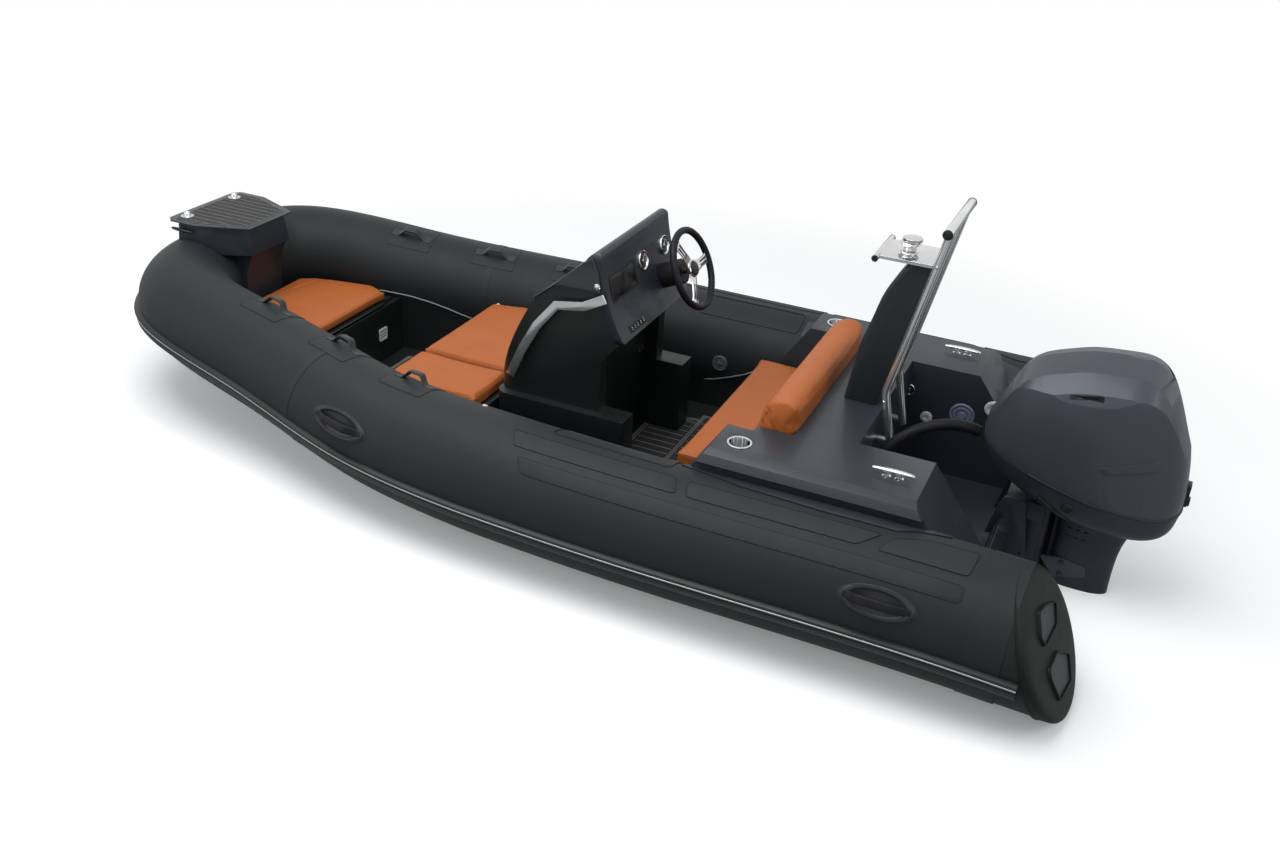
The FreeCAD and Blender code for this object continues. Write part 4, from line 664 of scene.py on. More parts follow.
slopes = spline_slopes(knots)


def path_point(t):
    i = min(int(t), len(knots) - 2)
    u = t - i
    v = 1 - u
    return (knots[i] * (v * v * (1 + 2 * u)) + slopes[i] * (u * v * v)
            + knots[i + 1] * (u * u * (3 - 2 * u)) - slopes[i + 1] * (u * u * v))


STEPS_PER_KNOT = 60
place_table = [i / STEPS_PER_KNOT for i in range(BOW_PLACE * STEPS_PER_KNOT + 1)]
run_table = [0.0]
for low, high in zip(place_table, place_table[1:]):
    run_table.append(run_table[-1] + (path_point(high) - path_point(low)).length)


def looked_up(value, source, target):
    """Straight-line look-up between two tables that both rise."""
    low, high = 0, len(source) - 1
    while high - low > 1:
        middle = (low + high) // 2
        if source[middle] <= value:
            low = middle
        else:
            high = middle
    share = (value - source[low]) / (source[high] - source[low])
    return target[low] + share * (target[high] - target[low])


x_table = [path_point(t).x for t in place_table]


def run_at(x):
    return looked_up(x, x_table, run_table)


def section_at(run):
    """Centre, direction, outward side, up and radius of the port tube at a run."""
    t = looked_up(run, run_table, place_table)
    centre = path_point(t)
    after = path_point(min(t + TANGENT_STEP, BOW_PLACE + TANGENT_STEP))
    along = (after - path_point(max(t - TANGENT_STEP, 0.0))).normalized()
    side = -along.cross(Vector(UP)).normalized()
    up = side.cross(along).normalized()
    if up.z < 0:
        up = -up
    taper = max(0.0, t / BOW_PLACE - TAPER_START_SHARE) / (1 - TAPER_START_SHARE)
    return centre, along, side, up, STERN_RADIUS + (BOW_RADIUS - STERN_RADIUS) * taper


def on_tube(run, angle, lift=0.0, sign=1):
    """A point over the fabric, and the outward direction there."""
    centre, _, side, up, radius = section_at(run)
    a = math.radians(angle)
    out = side * math.cos(a) + up * math.sin(a)
    point = centre + out * (radius + lift)
    return Vector((point.x, sign * point.y, point.z)), Vector((out.x, sign * out.y, out.z))


def wrapped(run, angle, s, w, lift, sign=1):
    """A point of a piece drawn flat at (s along, w round), laid on the tube."""
    radius = section_at(run + s)[4]
    return on_tube(run + s, angle + math.degrees(w / radius), lift, sign)[0]


# The cap's seam and its end face both lean back: x falls toward the bottom of the tube.
SEAM_PLANE = (-0.182, 0.35, 0.0)
FACE_PLANE = (-0.235, 0.476, 0.10)
SHEAR_REACH = 0.45


def plane_x(plane, y, z):
    """The x of a leaning plane, given at the tube's centre with its slopes in z and outboard."""
    x, slope_z, slope_y = plane
    return x + slope_z * (z - PATH_STERN_Z) + slope_y * (abs(y) - PATH_SPREAD)


RUN_SEAM, RUN_CHAMBER, RUN_BOW = run_at(SEAM_X), run_at(CHAMBER_X), run_table[-1]
print("tube run", round(RUN_BOW, 3))

# %% [markdown]
# A plain loft would do for the form, but the fabric needs a UV map in real metres so that its weave
# keeps one size from stern to bow.  The mesh is therefore written face by face with its UV.

# %% Tube chambers
TUBE_SIDES = 72
RING_PITCH = 0.03
BOW_GAP = 0.0005


def chamber_mesh(name, rings, runs):
    """A closed tube through rings, with its UV in metres."""
    work = bmesh.new()
    uv = work.loops.layers.uv.new("metres")
    layers = loft(work, rings, caps=False)
    count = len(layers[0])
    girth = 2 * math.pi * STERN_RADIUS
    for index, face in enumerate(work.faces):
        row, column = divmod(index, count)
        corners = ((row, column), (row, column + 1), (row + 1, column + 1), (row + 1, column))
        for loop, (r, c) in zip(face.loops, corners):
            loop[uv].uv = (runs[r], girth * c / count)
    work.faces.new(list(reversed(layers[0])))
    work.faces.new(layers[-1])
    return to_mesh(name, work, 50)


def tube_ring(run, sign=1, grow=0.0):
    return [on_tube(run, 360.0 * i / TUBE_SIDES, grow, sign)[0] for i in range(TUBE_SIDES)]


def spaced(start, end, pitch):
    count = max(2, int(abs(end - start) / pitch))
    return [start + (end - start) * i / count for i in range(count + 1)]


def build_chambers():
    side_runs = spaced(RUN_SEAM, RUN_CHAMBER, RING_PITCH)
    for name, sign in (("port_tube", 1), ("starboard_tube", -1)):
        rings = [tube_ring(run, sign) for run in side_runs]
        shift = [plane_x(SEAM_PLANE, p.y, p.z) - p.x for p in rings[0]]
        for ring, run in zip(rings, side_runs):
            share = max(0.0, 1 - (run - RUN_SEAM) / SHEAR_REACH) ** 2
            for p, move in zip(ring, shift):
                p.x += move * share
        mesh = chamber_mesh(name + "_skin", rings, side_runs)
        piece(mesh.name, mesh, tube_fabric, "boat", (name,))
    bow_runs = spaced(RUN_CHAMBER, RUN_BOW - BOW_GAP, RING_PITCH * 0.7)
    rings = [tube_ring(run) for run in bow_runs]
    back = [mirrored(ring) for ring in reversed(rings)]
    runs = bow_runs + [2 * RUN_BOW - run for run in reversed(bow_runs)]
    mesh = chamber_mesh("bow_tube_skin", rings + back, runs)
    piece(mesh.name, mesh, tube_fabric, "boat", ("bow_tube",))


build_chambers()

# %% [markdown]
# Patches and pads are thin sheets with rounded corners, glued on.  Each is drawn flat in metres,
# filled by shrinking copies of its outline, and wrapped round the tube.  A narrow darker bead
# along the edge stands for the line of glue and shadow that shows in the photograph.

# %% Patches on the tubes
PATCH_LIFT = 0.0018
PATCH_SINK, BEAD_SINK = 0.002, 0.001
BEAD = 0.0026
PATCH_SHARES = (0.85, 0.66, 0.46, 0.26, 0.08)


def rounded_outline(corners, radius, steps=6):
    """A closed flat outline with its corners rounded."""
    count = len(corners)
    made = []
    for i, corner in enumerate(corners):
        corner = Vector(corner)
        back = Vector(corners[i - 1]) - corner
        ahead = Vector(corners[(i + 1) % count]) - corner
        reach = min(radius, back.length * 0.45, ahead.length * 0.45)
        first = corner + back.normalized() * reach
        last = corner + ahead.normalized() * reach
        for k in range(steps + 1):
            t = k / steps
            made.append(first * (1 - t) ** 2 + corner * 2 * t * (1 - t) + last * t ** 2)
    return made


def refined(outline, pitch=0.03):
    """The same closed outline with no side longer than a pitch."""
    made = []
    for a, b in zip(outline, outline[1:] + outline[:1]):
        parts = max(1, int(math.ceil((b - a).length / pitch)))
        made += [a.lerp(b, k / parts) for k in range(parts)]
    return made


def add_patch(work, run, angle, corners, radius, lift, sign):
    """A thin sheet: its edge dips into the fabric and its inside is shrinking copies of its outline."""
    outline = refined(rounded_outline(corners, radius))
    middle = middle_of(outline)
    edge = [(1.0, -PATCH_SINK), (1.0, lift * 0.5), (0.995, lift)]
    loft(work, [[wrapped(run, angle, *(middle.lerp(p, share)), height, sign) for p in outline]
                for share, height in edge + [(share, lift) for share in PATCH_SHARES]])


def add_bead(work, run, angle, corners, radius, lift, sign):
    """A thin raised line round a patch."""
    outline = refined(rounded_outline(corners, radius), 0.04)
    ring_of = []
    for i, p in enumerate(outline):
        ahead = (outline[(i + 1) % len(outline)] - outline[i - 1]).normalized()
        across = Vector((ahead.y, -ahead.x)) * BEAD
        section = ((1.0, -BEAD_SINK), (0.5, lift), (-0.5, lift), (-1.0, -BEAD_SINK))
        ring_of.append([wrapped(run, angle, *(p + across * out), height, sign) for out, height in section])
    loft(work, ring_of + [ring_of[0]], caps=False)


def box_corners(s0, s1, w0, w1):
    return [(s0, w0), (s1, w0), (s1, w1), (s0, w1)]


PAD_ANGLE = 66.0
STRIP_ANGLE = 50.0
TUBE_PADS = {
    "long_strip": (STRIP_ANGLE, [(0.248, -0.030), (1.832, -0.030), (1.871, 0.030), (0.248, 0.030)]),
    "fore_pad": (PAD_ANGLE, [(1.262, 0.0), (1.910, 0.0), (1.948, 0.075), (1.288, 0.075)]),
    "middle_pad": (PAD_ANGLE, [(0.615, 0.0), (1.223, 0.0), (1.240, 0.072), (0.547, 0.072)]),
    "aft_pad": (PAD_ANGLE, [(0.248, 0.0), (0.547, 0.0), (0.510, 0.066), (0.400, 0.110), (0.236, 0.118)]),
}
PAD_CORNER = 0.018
PAD_EDGE_LIFT = PATCH_LIFT * 1.7


def build_pads():
    for name, (angle, corners) in TUBE_PADS.items():
        pads, beads = bmesh.new(), bmesh.new()
        middle = sum(s for s, w in corners) / len(corners)
        flat = [(s - middle, w) for s, w in corners]
        for sign in (1, -1):
            add_patch(pads, middle, angle, flat, PAD_CORNER, PATCH_LIFT, sign)
            add_bead(beads, middle, angle, flat, PAD_CORNER, PAD_EDGE_LIFT, sign)
        boat_piece(name, pads, patch_fabric if name == "long_strip" else pad_rubber)
        boat_piece(name + "_edge", beads, seam_tape)


build_pads()

# %% [markdown]
# Where two chambers meet, and forward of the end cap, a tape runs right round.

# %% Seam tapes
TAPE_LIFT = 0.0015
CHAMBER_TAPE = (RUN_CHAMBER, 0.03)
CAP_TAPE = ((RUN_SEAM + 0.196) / 2 + 0.01, 0.13)


def build_tapes():
    work = bmesh.new()
    for sign in (1, -1):
        for run, width in (CHAMBER_TAPE, CAP_TAPE):
            section = ((-0.5, -BEAD_SINK), (-0.5, TAPE_LIFT), (0.5, TAPE_LIFT), (0.5, -BEAD_SINK))
            loft(work, [tube_ring(run + share * width, sign, height) for share, height in section],
                 caps=False)
    boat_piece("chamber_tapes", work, patch_fabric, 20)


build_tapes()

# %% [markdown]
# The rubbing strake is one extrusion, so it is a section swept along the tube: a wide root glued to
# the fabric, two ribs and a hollow between them.  A bright line and a dim one lie in its outer face.

# %% Rubbing strake
STRAKE_ANGLE = -9.7
STRAKE_HEIGHT, STRAKE_DEPTH = 0.062, 0.024
STRAKE_OVERLAP, STRAKE_SINK = 0.053, 0.0005
STRAKE_PROFILE = ((-1.0, 0.0), (-0.97, 0.35), (-0.80, 0.80), (-0.58, 0.96), (-0.34, 0.92), (-0.20, 0.66),
                  (0.0, 0.58), (0.20, 0.66), (0.34, 0.92), (0.58, 0.96), (0.80, 0.80), (0.97, 0.35),
                  (1.0, 0.0))
STRAKE_LINES = (("strake_upper_line", 0.46, 0.105, silver_line),
                ("strake_lower_line", -0.46, 0.055, dim_line))


def strake_sweep(profile):
    """A flat profile of (round, out) shares, swept from the port seam to the starboard one."""
    work = bmesh.new()
    rings = [[wrapped(run, STRAKE_ANGLE, 0.0, w * STRAKE_HEIGHT / 2, h * STRAKE_DEPTH - STRAKE_SINK)
              for w, h in profile] for run in spaced(RUN_SEAM - STRAKE_OVERLAP, RUN_BOW, RING_PITCH)]
    loft(work, rings + [mirrored(ring) for ring in reversed(rings[:-1])])
    return work


def build_strake():
    boat_piece("rubbing_strake_ribbed", strake_sweep(STRAKE_PROFILE), strake_rubber, 25,
               ("rubbing_strake",))
    for name, middle, half, material in STRAKE_LINES:
        profile = [(middle + half * share, out) for share,
                   out in ((-1, 0.90), (-0.6, 1.0), (0.6, 1.0), (1, 0.90))]
        boat_piece(name, strake_sweep(profile), material, 40)


build_strake()

# %% [markdown]
# ## Cushions
# A padded cushion is a bag under pressure.  A copy of the CAD solid, a little smaller, is remeshed
# evenly and inflated by the cloth solver; the move of each point is capped so that the pad stays in
# its place, and its underside is kept flat.  Seams come after that: the surface is drawn in along
# each seam line, a piping cord is laid in the groove, and stitches follow it on one side.

# %% Plan outlines of a solid
def convex_outline(points):
    """The convex hull of flat points, turning left."""
    ordered = sorted(set((round(x, 4), round(y, 4)) for x, y in points))

    def half(source):
        chain = []
        for p in source:
            while len(chain) > 1 and ((chain[-1][0] - chain[-2][0]) * (p[1] - chain[-2][1])
                                      - (chain[-1][1] - chain[-2][1]) * (p[0] - chain[-2][0])) <= 1e-6:
                chain.pop()
            chain.append(p)
        return chain[:-1]
    return half(ordered) + half(list(reversed(ordered)))


SHORT_SIDE = 0.02


def inset_outline(outline, reach):
    """A convex outline moved inward by a distance, its short sides left out."""
    corners = [Vector(p) for p in outline]
    kept = [p for i, p in enumerate(corners) if (p - corners[i - 1]).length > SHORT_SIDE]
    made = []
    for i, p in enumerate(kept):
        back = (p - kept[i - 1]).normalized()
        ahead = (kept[(i + 1) % len(kept)] - p).normalized()
        in_back, in_ahead = Vector((-back.y, back.x)), Vector((-ahead.y, ahead.x))
        share = 1 + in_back.dot(in_ahead)
        made.append(p + (in_back + in_ahead) * (reach / max(share, 0.3)))
    return made


# %% Inflating
VOXEL = 0.0095
PRESSURE = 4.0
SIM_FRAMES = 20
SWELL_CAP = 0.0085
SHRINK = 0.0055
FLAT_BAND, FLAT_LIFT = 0.012, 0.0005


def shrunk_copy(node_name):
    work = solid_copy(node_name)
    low = Vector([min(v.co[i] for v in work.verts) for i in range(3)])
    high = Vector([max(v.co[i] for v in work.verts) for i in range(3)])
    middle = (low + high) / 2
    for v in work.verts:
        for i in range(3):
            share = 1 - 2 * SHRINK / (high[i] - low[i])
            v.co[i] = middle[i] + (v.co[i] - middle[i]) * share
    mesh = bpy.data.meshes.new(node_name + "_start")
    work.to_mesh(mesh)
    work.free()
    return mesh, low, high


def inflated(node_name):
    """The remeshed solid swollen by the cloth solver, as a bmesh, with the solid's box."""
    start, low, high = shrunk_copy(node_name)
    thing = bpy.data.objects.new(node_name + "_sim", start)
    scene.collection.objects.link(thing)
    remesh = thing.modifiers.new("even", "REMESH")
    remesh.mode = "VOXEL"
    remesh.voxel_size = VOXEL
    even = settle_modifiers(thing, node_name + "_even")
    rest = [v.co.copy() for v in even.vertices]
    thing = bpy.data.objects.new(node_name + "_sim", even)
    scene.collection.objects.link(thing)
    cloth = thing.modifiers.new("bag", "CLOTH")
    cloth.settings.use_pressure = True
    cloth.settings.uniform_pressure_force = PRESSURE
    cloth.settings.quality = 4
    cloth.settings.effector_weights.gravity = 0.0
    cloth.point_cache.frame_start, cloth.point_cache.frame_end = 1, SIM_FRAMES
    for step in range(1, SIM_FRAMES + 1):
        scene.frame_set(step)
    mesh = settle_modifiers(thing, node_name + "_bag")
    for v, start_place in zip(mesh.vertices, rest):
        move = v.co - start_place
        if move.length > SWELL_CAP:
            v.co = start_place + move * (SWELL_CAP / move.length)
    work = bmesh.new()
    work.from_mesh(mesh)
    bmesh.ops.smooth_vert(work, verts=work.verts, factor=0.5, use_axis_x=True, use_axis_y=True,
                          use_axis_z=True)
    bmesh.ops.subdivide_edges(work, edges=work.edges, cuts=1, use_grid_fill=True, smooth=0.6)
    return work, low, high


# %% Seams
GROOVE_HALF, GROOVE_DEPTH = 0.009, 0.0030
PIPING_RADIUS = 0.0017
STITCH_PITCH, STITCH_LENGTH, STITCH_OFFSET = 0.011, 0.0062, 0.009
STITCH_RADIUS, STITCH_RISE, STITCH_SINK = 0.0007, 0.0006, 0.0004
SEAM_CORNER, STITCH_CORNER, SEAM_PITCH = 0.03, 0.025, 0.012
TOP_REACH, END_REACH = 0.016, 0.014
TOP_BAND, RAY_START = 0.006, 0.1


def draw_in(work, line):
    """Pulls the surface in along a closed line of (point, outward) pairs."""
    tree = BVHTree.FromPolygons([p for p, out in line],
                                [(i, (i + 1) % len(line), i) for i in range(len(line))])
    for v in work.verts:
        near, _, index, away = tree.find_nearest(v.co, GROOVE_HALF)
        if near is not None:
            v.co -= line[index][1] * GROOVE_DEPTH * (1 - (away / GROOVE_HALF) ** 2)


def laid_line(tree, outline, to_space, ray):
    """A flat outline cast on a surface: (point, normal) pairs."""
    line = []
    for p in refined(outline, SEAM_PITCH):
        hit, normal, _, _ = tree.ray_cast(to_space(p), ray)
        if hit is not None:
            line.append((hit, normal))
    return line


def stitch(work):
    rod(work, [(STITCH_LENGTH * share, 0, height) for share, height in
               ((-0.5, -STITCH_SINK), (-0.25, STITCH_RISE), (0.25, STITCH_RISE), (0.5, -STITCH_SINK))],
        STITCH_RADIUS, 6)


STITCH = unit_object("stitch", stitch)


def seam_outlines(kind, low, high, points):
    """Each seam as (outline, map to the ray's start, the ray's way, reach in from the edge)."""
    if kind == "top":
        hull = convex_outline([(p.x, p.y) for p in points if p.z > high.z - TOP_BAND])
        sky = high.z + RAY_START
        return [(hull, lambda p: Vector((p.x, p.y, sky)), Vector(DOWN), TOP_REACH)]
    hull = convex_outline([(p.x, p.z) for p in points])
    ends = []
    for sign, edge in ((1, high.y + RAY_START), (-1, low.y - RAY_START)):
        ends.append((hull, lambda p, edge=edge: Vector((p.x, edge, p.y)), Vector((0, -sign, 0)), END_REACH))
    return ends


def cushion(node_name, kind, body):
    work, low, high = inflated(node_name)
    solid_points = [v.co.copy() for v in nodes[node_name].data.vertices]
    for v in work.verts:
        if v.co.z < low.z + FLAT_BAND and node_name != "backrest":
            v.co.z = max(v.co.z, low.z + FLAT_LIFT)
    lines, inner = [], []
    for hull, to_space, ray, reach in seam_outlines(kind, low, high, solid_points):
        outline = rounded_outline(inset_outline(hull, reach), SEAM_CORNER)
        draw_in(work, laid_line(BVHTree.FromBMesh(work), outline, to_space, ray))
        tree = BVHTree.FromBMesh(work)
        lines.append(laid_line(tree, outline, to_space, ray))
        second = rounded_outline(inset_outline(hull, reach + STITCH_OFFSET), STITCH_CORNER)
        stitches = laid_line(tree, second, to_space, ray)
        inner.append(stitches + stitches[:1])
    name = node_name + "_pad"
    pad = piece(name, to_mesh(name, work, 80), orange_vinyl, body, (node_name,))
    cords = bmesh.new()
    for line in lines:
        closed_bead(cords, [p - out * PIPING_RADIUS * 0.3 for p, out in line], [out for p, out in line],
                    PIPING_RADIUS, 8)
    name = node_name + "_piping"
    piece(name, to_mesh(name, cords, 80), vinyl_piping, body)
    repeats_along(node_name + "_stitches", inner, STITCH_PITCH, STITCH, seam_thread, body)


cushion("bow_cushion", "top", "bow_lid")
cushion("front_cushion_port", "top", "front_lid")
cushion("front_cushion_starboard", "top", "front_lid")
cushion("aft_cushion", "top", "aft_lid")
cushion("backrest", "ends", "boat")
scene.frame_set(1)

# %% [markdown]
# ## End caps and handles
# A handle is modelled flat, as if the tube were unrolled: run along, width round and height over
# the fabric.  Wrapping those three numbers bends it to the tube in one step.

# %% End caps with recessed panels
# Each cap is rubber over the tube's end.  Its rings are (share of the way from the seam to the face,
# share of the radius, push out of the face).
CAP_PROFILE = ((0.0, 0.97, 0.0), (0.0, 1.010, 0.0), (0.10, 1.016, 0.0), (0.16, 1.016, 0.0),
               (0.20, 1.006, 0.0), (0.80, 1.004, 0.0), (0.95, 0.994, 0.0), (1.0, 0.972, 0.003),
               (1.0, 0.94, 0.0075), (1.0, 0.88, 0.010), (1.0, 0.70, 0.012), (1.0, 0.40, 0.013),
               (1.0, 0.02, 0.013))
CAP_PANELS = (((-0.050, 0.150), (0.016, 0.142), (0.120, 0.094), (0.076, 0.030), (-0.078, 0.030),
               (-0.096, 0.078)),
              ((-0.096, -0.034), (0.010, -0.026), (0.112, -0.100), (0.066, -0.178), (-0.080, -0.170),
               (-0.108, -0.066)))
PANEL_RADIUS, PANEL_LIP = 0.014, 0.010
LIP_FOOT, PANEL_FOOT, LIP_TOP, PANEL_TOP = 0.004, 0.006, 0.0215, 0.01333
CAP_CRISP = 55


def cap_ring(plane_share, radius_share, push, sign, steps=96):
    ring = []
    for a in turn_steps(steps):
        y = PATH_SPREAD + STERN_RADIUS * radius_share * math.cos(a)
        z = PATH_STERN_Z + STERN_RADIUS * radius_share * math.sin(a)
        seam, face = plane_x(SEAM_PLANE, y, z), plane_x(FACE_PLANE, y, z)
        ring.append(Vector((seam + (face - seam) * plane_share - push, sign * y, z)))
    return ring


def face_place(u, v, h):
    """A point over the port cap's end face: u inboard, v up, h out of it."""
    out = Vector((-1.0, FACE_PLANE[2], FACE_PLANE[1])).normalized()
    high = (Vector(UP) - out * out.z).normalized()
    return Vector((FACE_PLANE[0], PATH_SPREAD, PATH_STERN_Z)) + high.cross(out) * u + high * v + out * h


def face_loft(work, layers, sign, caps):
    """A loft over the cap's face, through (outline, height) layers."""
    rings = [[face_place(p.x, p.y, height) for p in outline] for outline, height in layers]
    loft(work, rings if sign > 0 else [mirrored(ring) for ring in rings], caps=caps)


def build_end_cap(cap_name, sign):
    cap, lips, panels = bmesh.new(), bmesh.new(), bmesh.new()
    loft(cap, [cap_ring(*profile, sign) for profile in CAP_PROFILE])
    for corners in CAP_PANELS:
        outer = rounded_outline(corners, PANEL_RADIUS)
        middle = middle_of(outer)
        shoulder = [p + (middle - p).normalized() * PANEL_LIP * 0.45 for p in outer]
        inner = [p + (middle - p).normalized() * PANEL_LIP for p in outer]
        lip_layers = ((outer, LIP_FOOT), (shoulder, LIP_TOP), (inner, LIP_TOP), (inner, PANEL_FOOT))
        face_loft(lips, lip_layers, sign, caps=False)
        face_loft(panels, ((inner, PANEL_FOOT), (inner, PANEL_TOP)), sign, caps=True)
    boat_piece(cap_name + "_slanted", cap, cap_rubber, CAP_CRISP, (cap_name,))
    boat_piece(cap_name + "_lips", lips, cap_rubber)
    boat_piece(cap_name + "_panels", panels, cap_panel)


build_end_cap("port_end_cap", 1)
build_end_cap("starboard_end_cap", -1)

# %% [markdown]
# Three webbing loops stand on each side forward, on square patches, to hold on by and to tie to.
# The two lifting handles on each side are moulded: an oval base with a rim, and a grip across it.

# %% Webbing loops and lifting handles
STRAP_XS = (2.291, 2.696, 3.107)
STRAP_ANGLE = 108.0
STRAP_LENGTH, STRAP_LIFT, STRAP_WIDTH = 0.190, 0.033, 0.032
CARRY_XS = (0.296, 2.418)
CARRY_ANGLE = 25.0
CARRY_LENGTH, CARRY_HEIGHT = 0.256, 0.104
CARRY_RIM = ((1.04, -0.001), (1.04, 0.0018), (1.0, 0.0024), (0.98, 0.008), (0.94, 0.0105), (0.82, 0.0105),
             (0.77, 0.0085), (0.74, 0.004), (0.70, 0.0026), (0.35, 0.0026), (0.04, 0.0026))
GRIP_LIFT, GRIP_WIDTH = 0.031, 0.027
PATCH_HALF, PATCH_EXTRA, PATCH_TURN, PATCH_CORNER = 0.088, 0.02, 3.0, 0.012
FOOT_PATCH, FOOT_SHARE = box_corners(-0.017, 0.017, -0.02, 0.02), 0.43
LOOP_RISE = 0.24


def squared(value, power):
    """A sine or cosine made blunter, so that a round section turns into a flat bar."""
    return math.copysign(abs(value) ** power, value)


def add_loop(work, run, angle, sign, length, lift, width, thin, thick, foot=0.14, steps=36):
    """A flat bar rising between two glued ends, padded in the middle."""
    rings = []
    middle_line = []
    for i in range(steps + 1):
        u = length * (i / steps - 0.5)
        share = max(0.0, min(1.0, (length / 2 - abs(u) - foot * length) / (LOOP_RISE * length)))
        middle_line.append((u, lift * share * share * (3 - 2 * share), share))
    for i, (u, h, share) in enumerate(middle_line):
        ahead, behind = middle_line[min(i + 1, steps)], middle_line[max(i - 1, 0)]
        slope = Vector((ahead[0] - behind[0], ahead[1] - behind[1])).normalized()
        half = (thin + (thick - thin) * max(0.0, share * 2 - 1)) / 2
        ring = []
        for a in turn_steps(20):
            across = squared(math.cos(a), 0.45) * width / 2
            rise = squared(math.sin(a), 0.6) * half
            ring.append(wrapped(run, angle, u - slope.y * rise, across, h + half + slope.x * rise, sign))
        rings.append(ring)
    loft(work, rings)


def add_oval(work, run, angle, sign, profile, length, height):
    """Oval rings at (share of the size, height over the fabric), closed in the middle."""
    loft(work, [[wrapped(run, angle, math.cos(a) * length / 2 * share, math.sin(a) * height / 2 * share,
                         lift, sign) for a in turn_steps(56)] for share, lift in profile])


def build_handles(side_name, sign):
    straps, patches, beads = bmesh.new(), bmesh.new(), bmesh.new()
    for x in STRAP_XS:
        run = run_at(x)
        add_loop(straps, run, STRAP_ANGLE, sign, STRAP_LENGTH, STRAP_LIFT, STRAP_WIDTH, 0.004, 0.012)
        for end in (-1, 1):
            add_patch(straps, run + end * STRAP_LENGTH * FOOT_SHARE, STRAP_ANGLE, FOOT_PATCH, 0.005, 0.0035,
                      sign)
        long_half = PATCH_HALF + PATCH_EXTRA
        corners = box_corners(-long_half, long_half, -PATCH_HALF, PATCH_HALF)
        add_patch(patches, run, STRAP_ANGLE - PATCH_TURN, corners, PATCH_CORNER, 0.0014, sign)
        add_bead(beads, run, STRAP_ANGLE - PATCH_TURN, corners, PATCH_CORNER, 0.0022, sign)
    name = side_name + "_strap_handles"
    boat_piece(name + "_padded", straps, strap_webbing, 45, (name,))
    boat_piece(name + "_patches", patches, patch_fabric)
    # The patch edges are beads in the darker finish: glue line with painted shadow.
    boat_piece(name + "_edges", beads, seam_tape)
    bases, grips = bmesh.new(), bmesh.new()
    for x in CARRY_XS:
        run = run_at(x)
        add_oval(bases, run, CARRY_ANGLE, sign, CARRY_RIM, CARRY_LENGTH, CARRY_HEIGHT)
        add_loop(grips, run, CARRY_ANGLE, sign, CARRY_LENGTH * 0.90, GRIP_LIFT, GRIP_WIDTH, 0.011, 0.013,
                 0.05)
    name = side_name + "_carry_handles"
    boat_piece(name + "_moulded", bases, handle_rubber, 40, (name,))
    boat_piece(name + "_grips", grips, hose_rubber, 45)


build_handles("port", 1)
build_handles("starboard", -1)

# %% [markdown]
# ## Moulded parts that keep their form
# These solids are right in shape, so only their edges are softened.

# %% Softened mouldings
# Each row: solid, finish, edge radius, slot, steps in the rounding, angle from which an edge is rounded.
MOULDINGS = (
    ("hull", hull_gelcoat, 0.004, "hull_gelcoat", 3, 12.0),
    ("transom", hull_gelcoat, 0.004, "hull_gelcoat", 3, 28.0),
    ("deck_liner", liner_gelcoat, 0.004, "liner_gelcoat", 3, 28.0),
    ("bow_locker", liner_gelcoat, 0.004, "liner_gelcoat", 3, 28.0),
    ("bow_lid", liner_gelcoat, 0.0018, "liner_gelcoat", 3, 28.0),
    ("front_seat_box", liner_gelcoat, 0.005, "liner_gelcoat", 3, 28.0),
    ("front_seat_lid", liner_gelcoat, 0.0018, "liner_gelcoat", 3, 28.0),
    ("aft_seat_lid", liner_gelcoat, 0.0018, "liner_gelcoat", 3, 28.0),
    ("aft_moulding", deck_gelcoat, 0.009, "deck_gelcoat", 4, 20.0),
    ("console", console_gelcoat, 0.010, "console_gelcoat", 4, 30.0),
    ("dash", dash_gelcoat, 0.007, "dash_gelcoat", 4, 35.0),
    ("windscreen", smoked_screen, 0.0016, "smoked_screen", 3, 28.0),
    ("console_rails", mast_steel, 0.0022, "polished_steel", 3, 28.0),
    ("mast_fin", fin_gelcoat, 0.006, "console_gelcoat", 3, 35.0),
    ("mast_shelf", polished_steel, 0.0025, "polished_steel", 3, 28.0),
    ("clamp_bracket", engine_paint, 0.003, "engine_paint", 3, 28.0),
    ("swivel_bracket", engine_paint, 0.004, "engine_paint", 3, 28.0),
    ("cowl", cowl_paint, 0.006, "cowl_paint", 4, 14.0),
    ("engine_leg", engine_paint, 0.004, "engine_paint", 3, 30.0),
    ("propeller", propeller_paint, 0.0012, "propeller_paint", 3, 40.0),
    ("bow_step", deck_gelcoat, 0.008, "deck_gelcoat", 4, 28.0),
    ("cup_rings", polished_steel, 0.0008, "polished_steel", 3, 28.0),
)
for row in MOULDINGS:
    softened(*row)

# %% [markdown]
# ## Treads
# The floor and the bow step carry foam planking: dark planks with pale lines between them and a
# pale border.  The lines are thin inlays in the grooves of the solid.

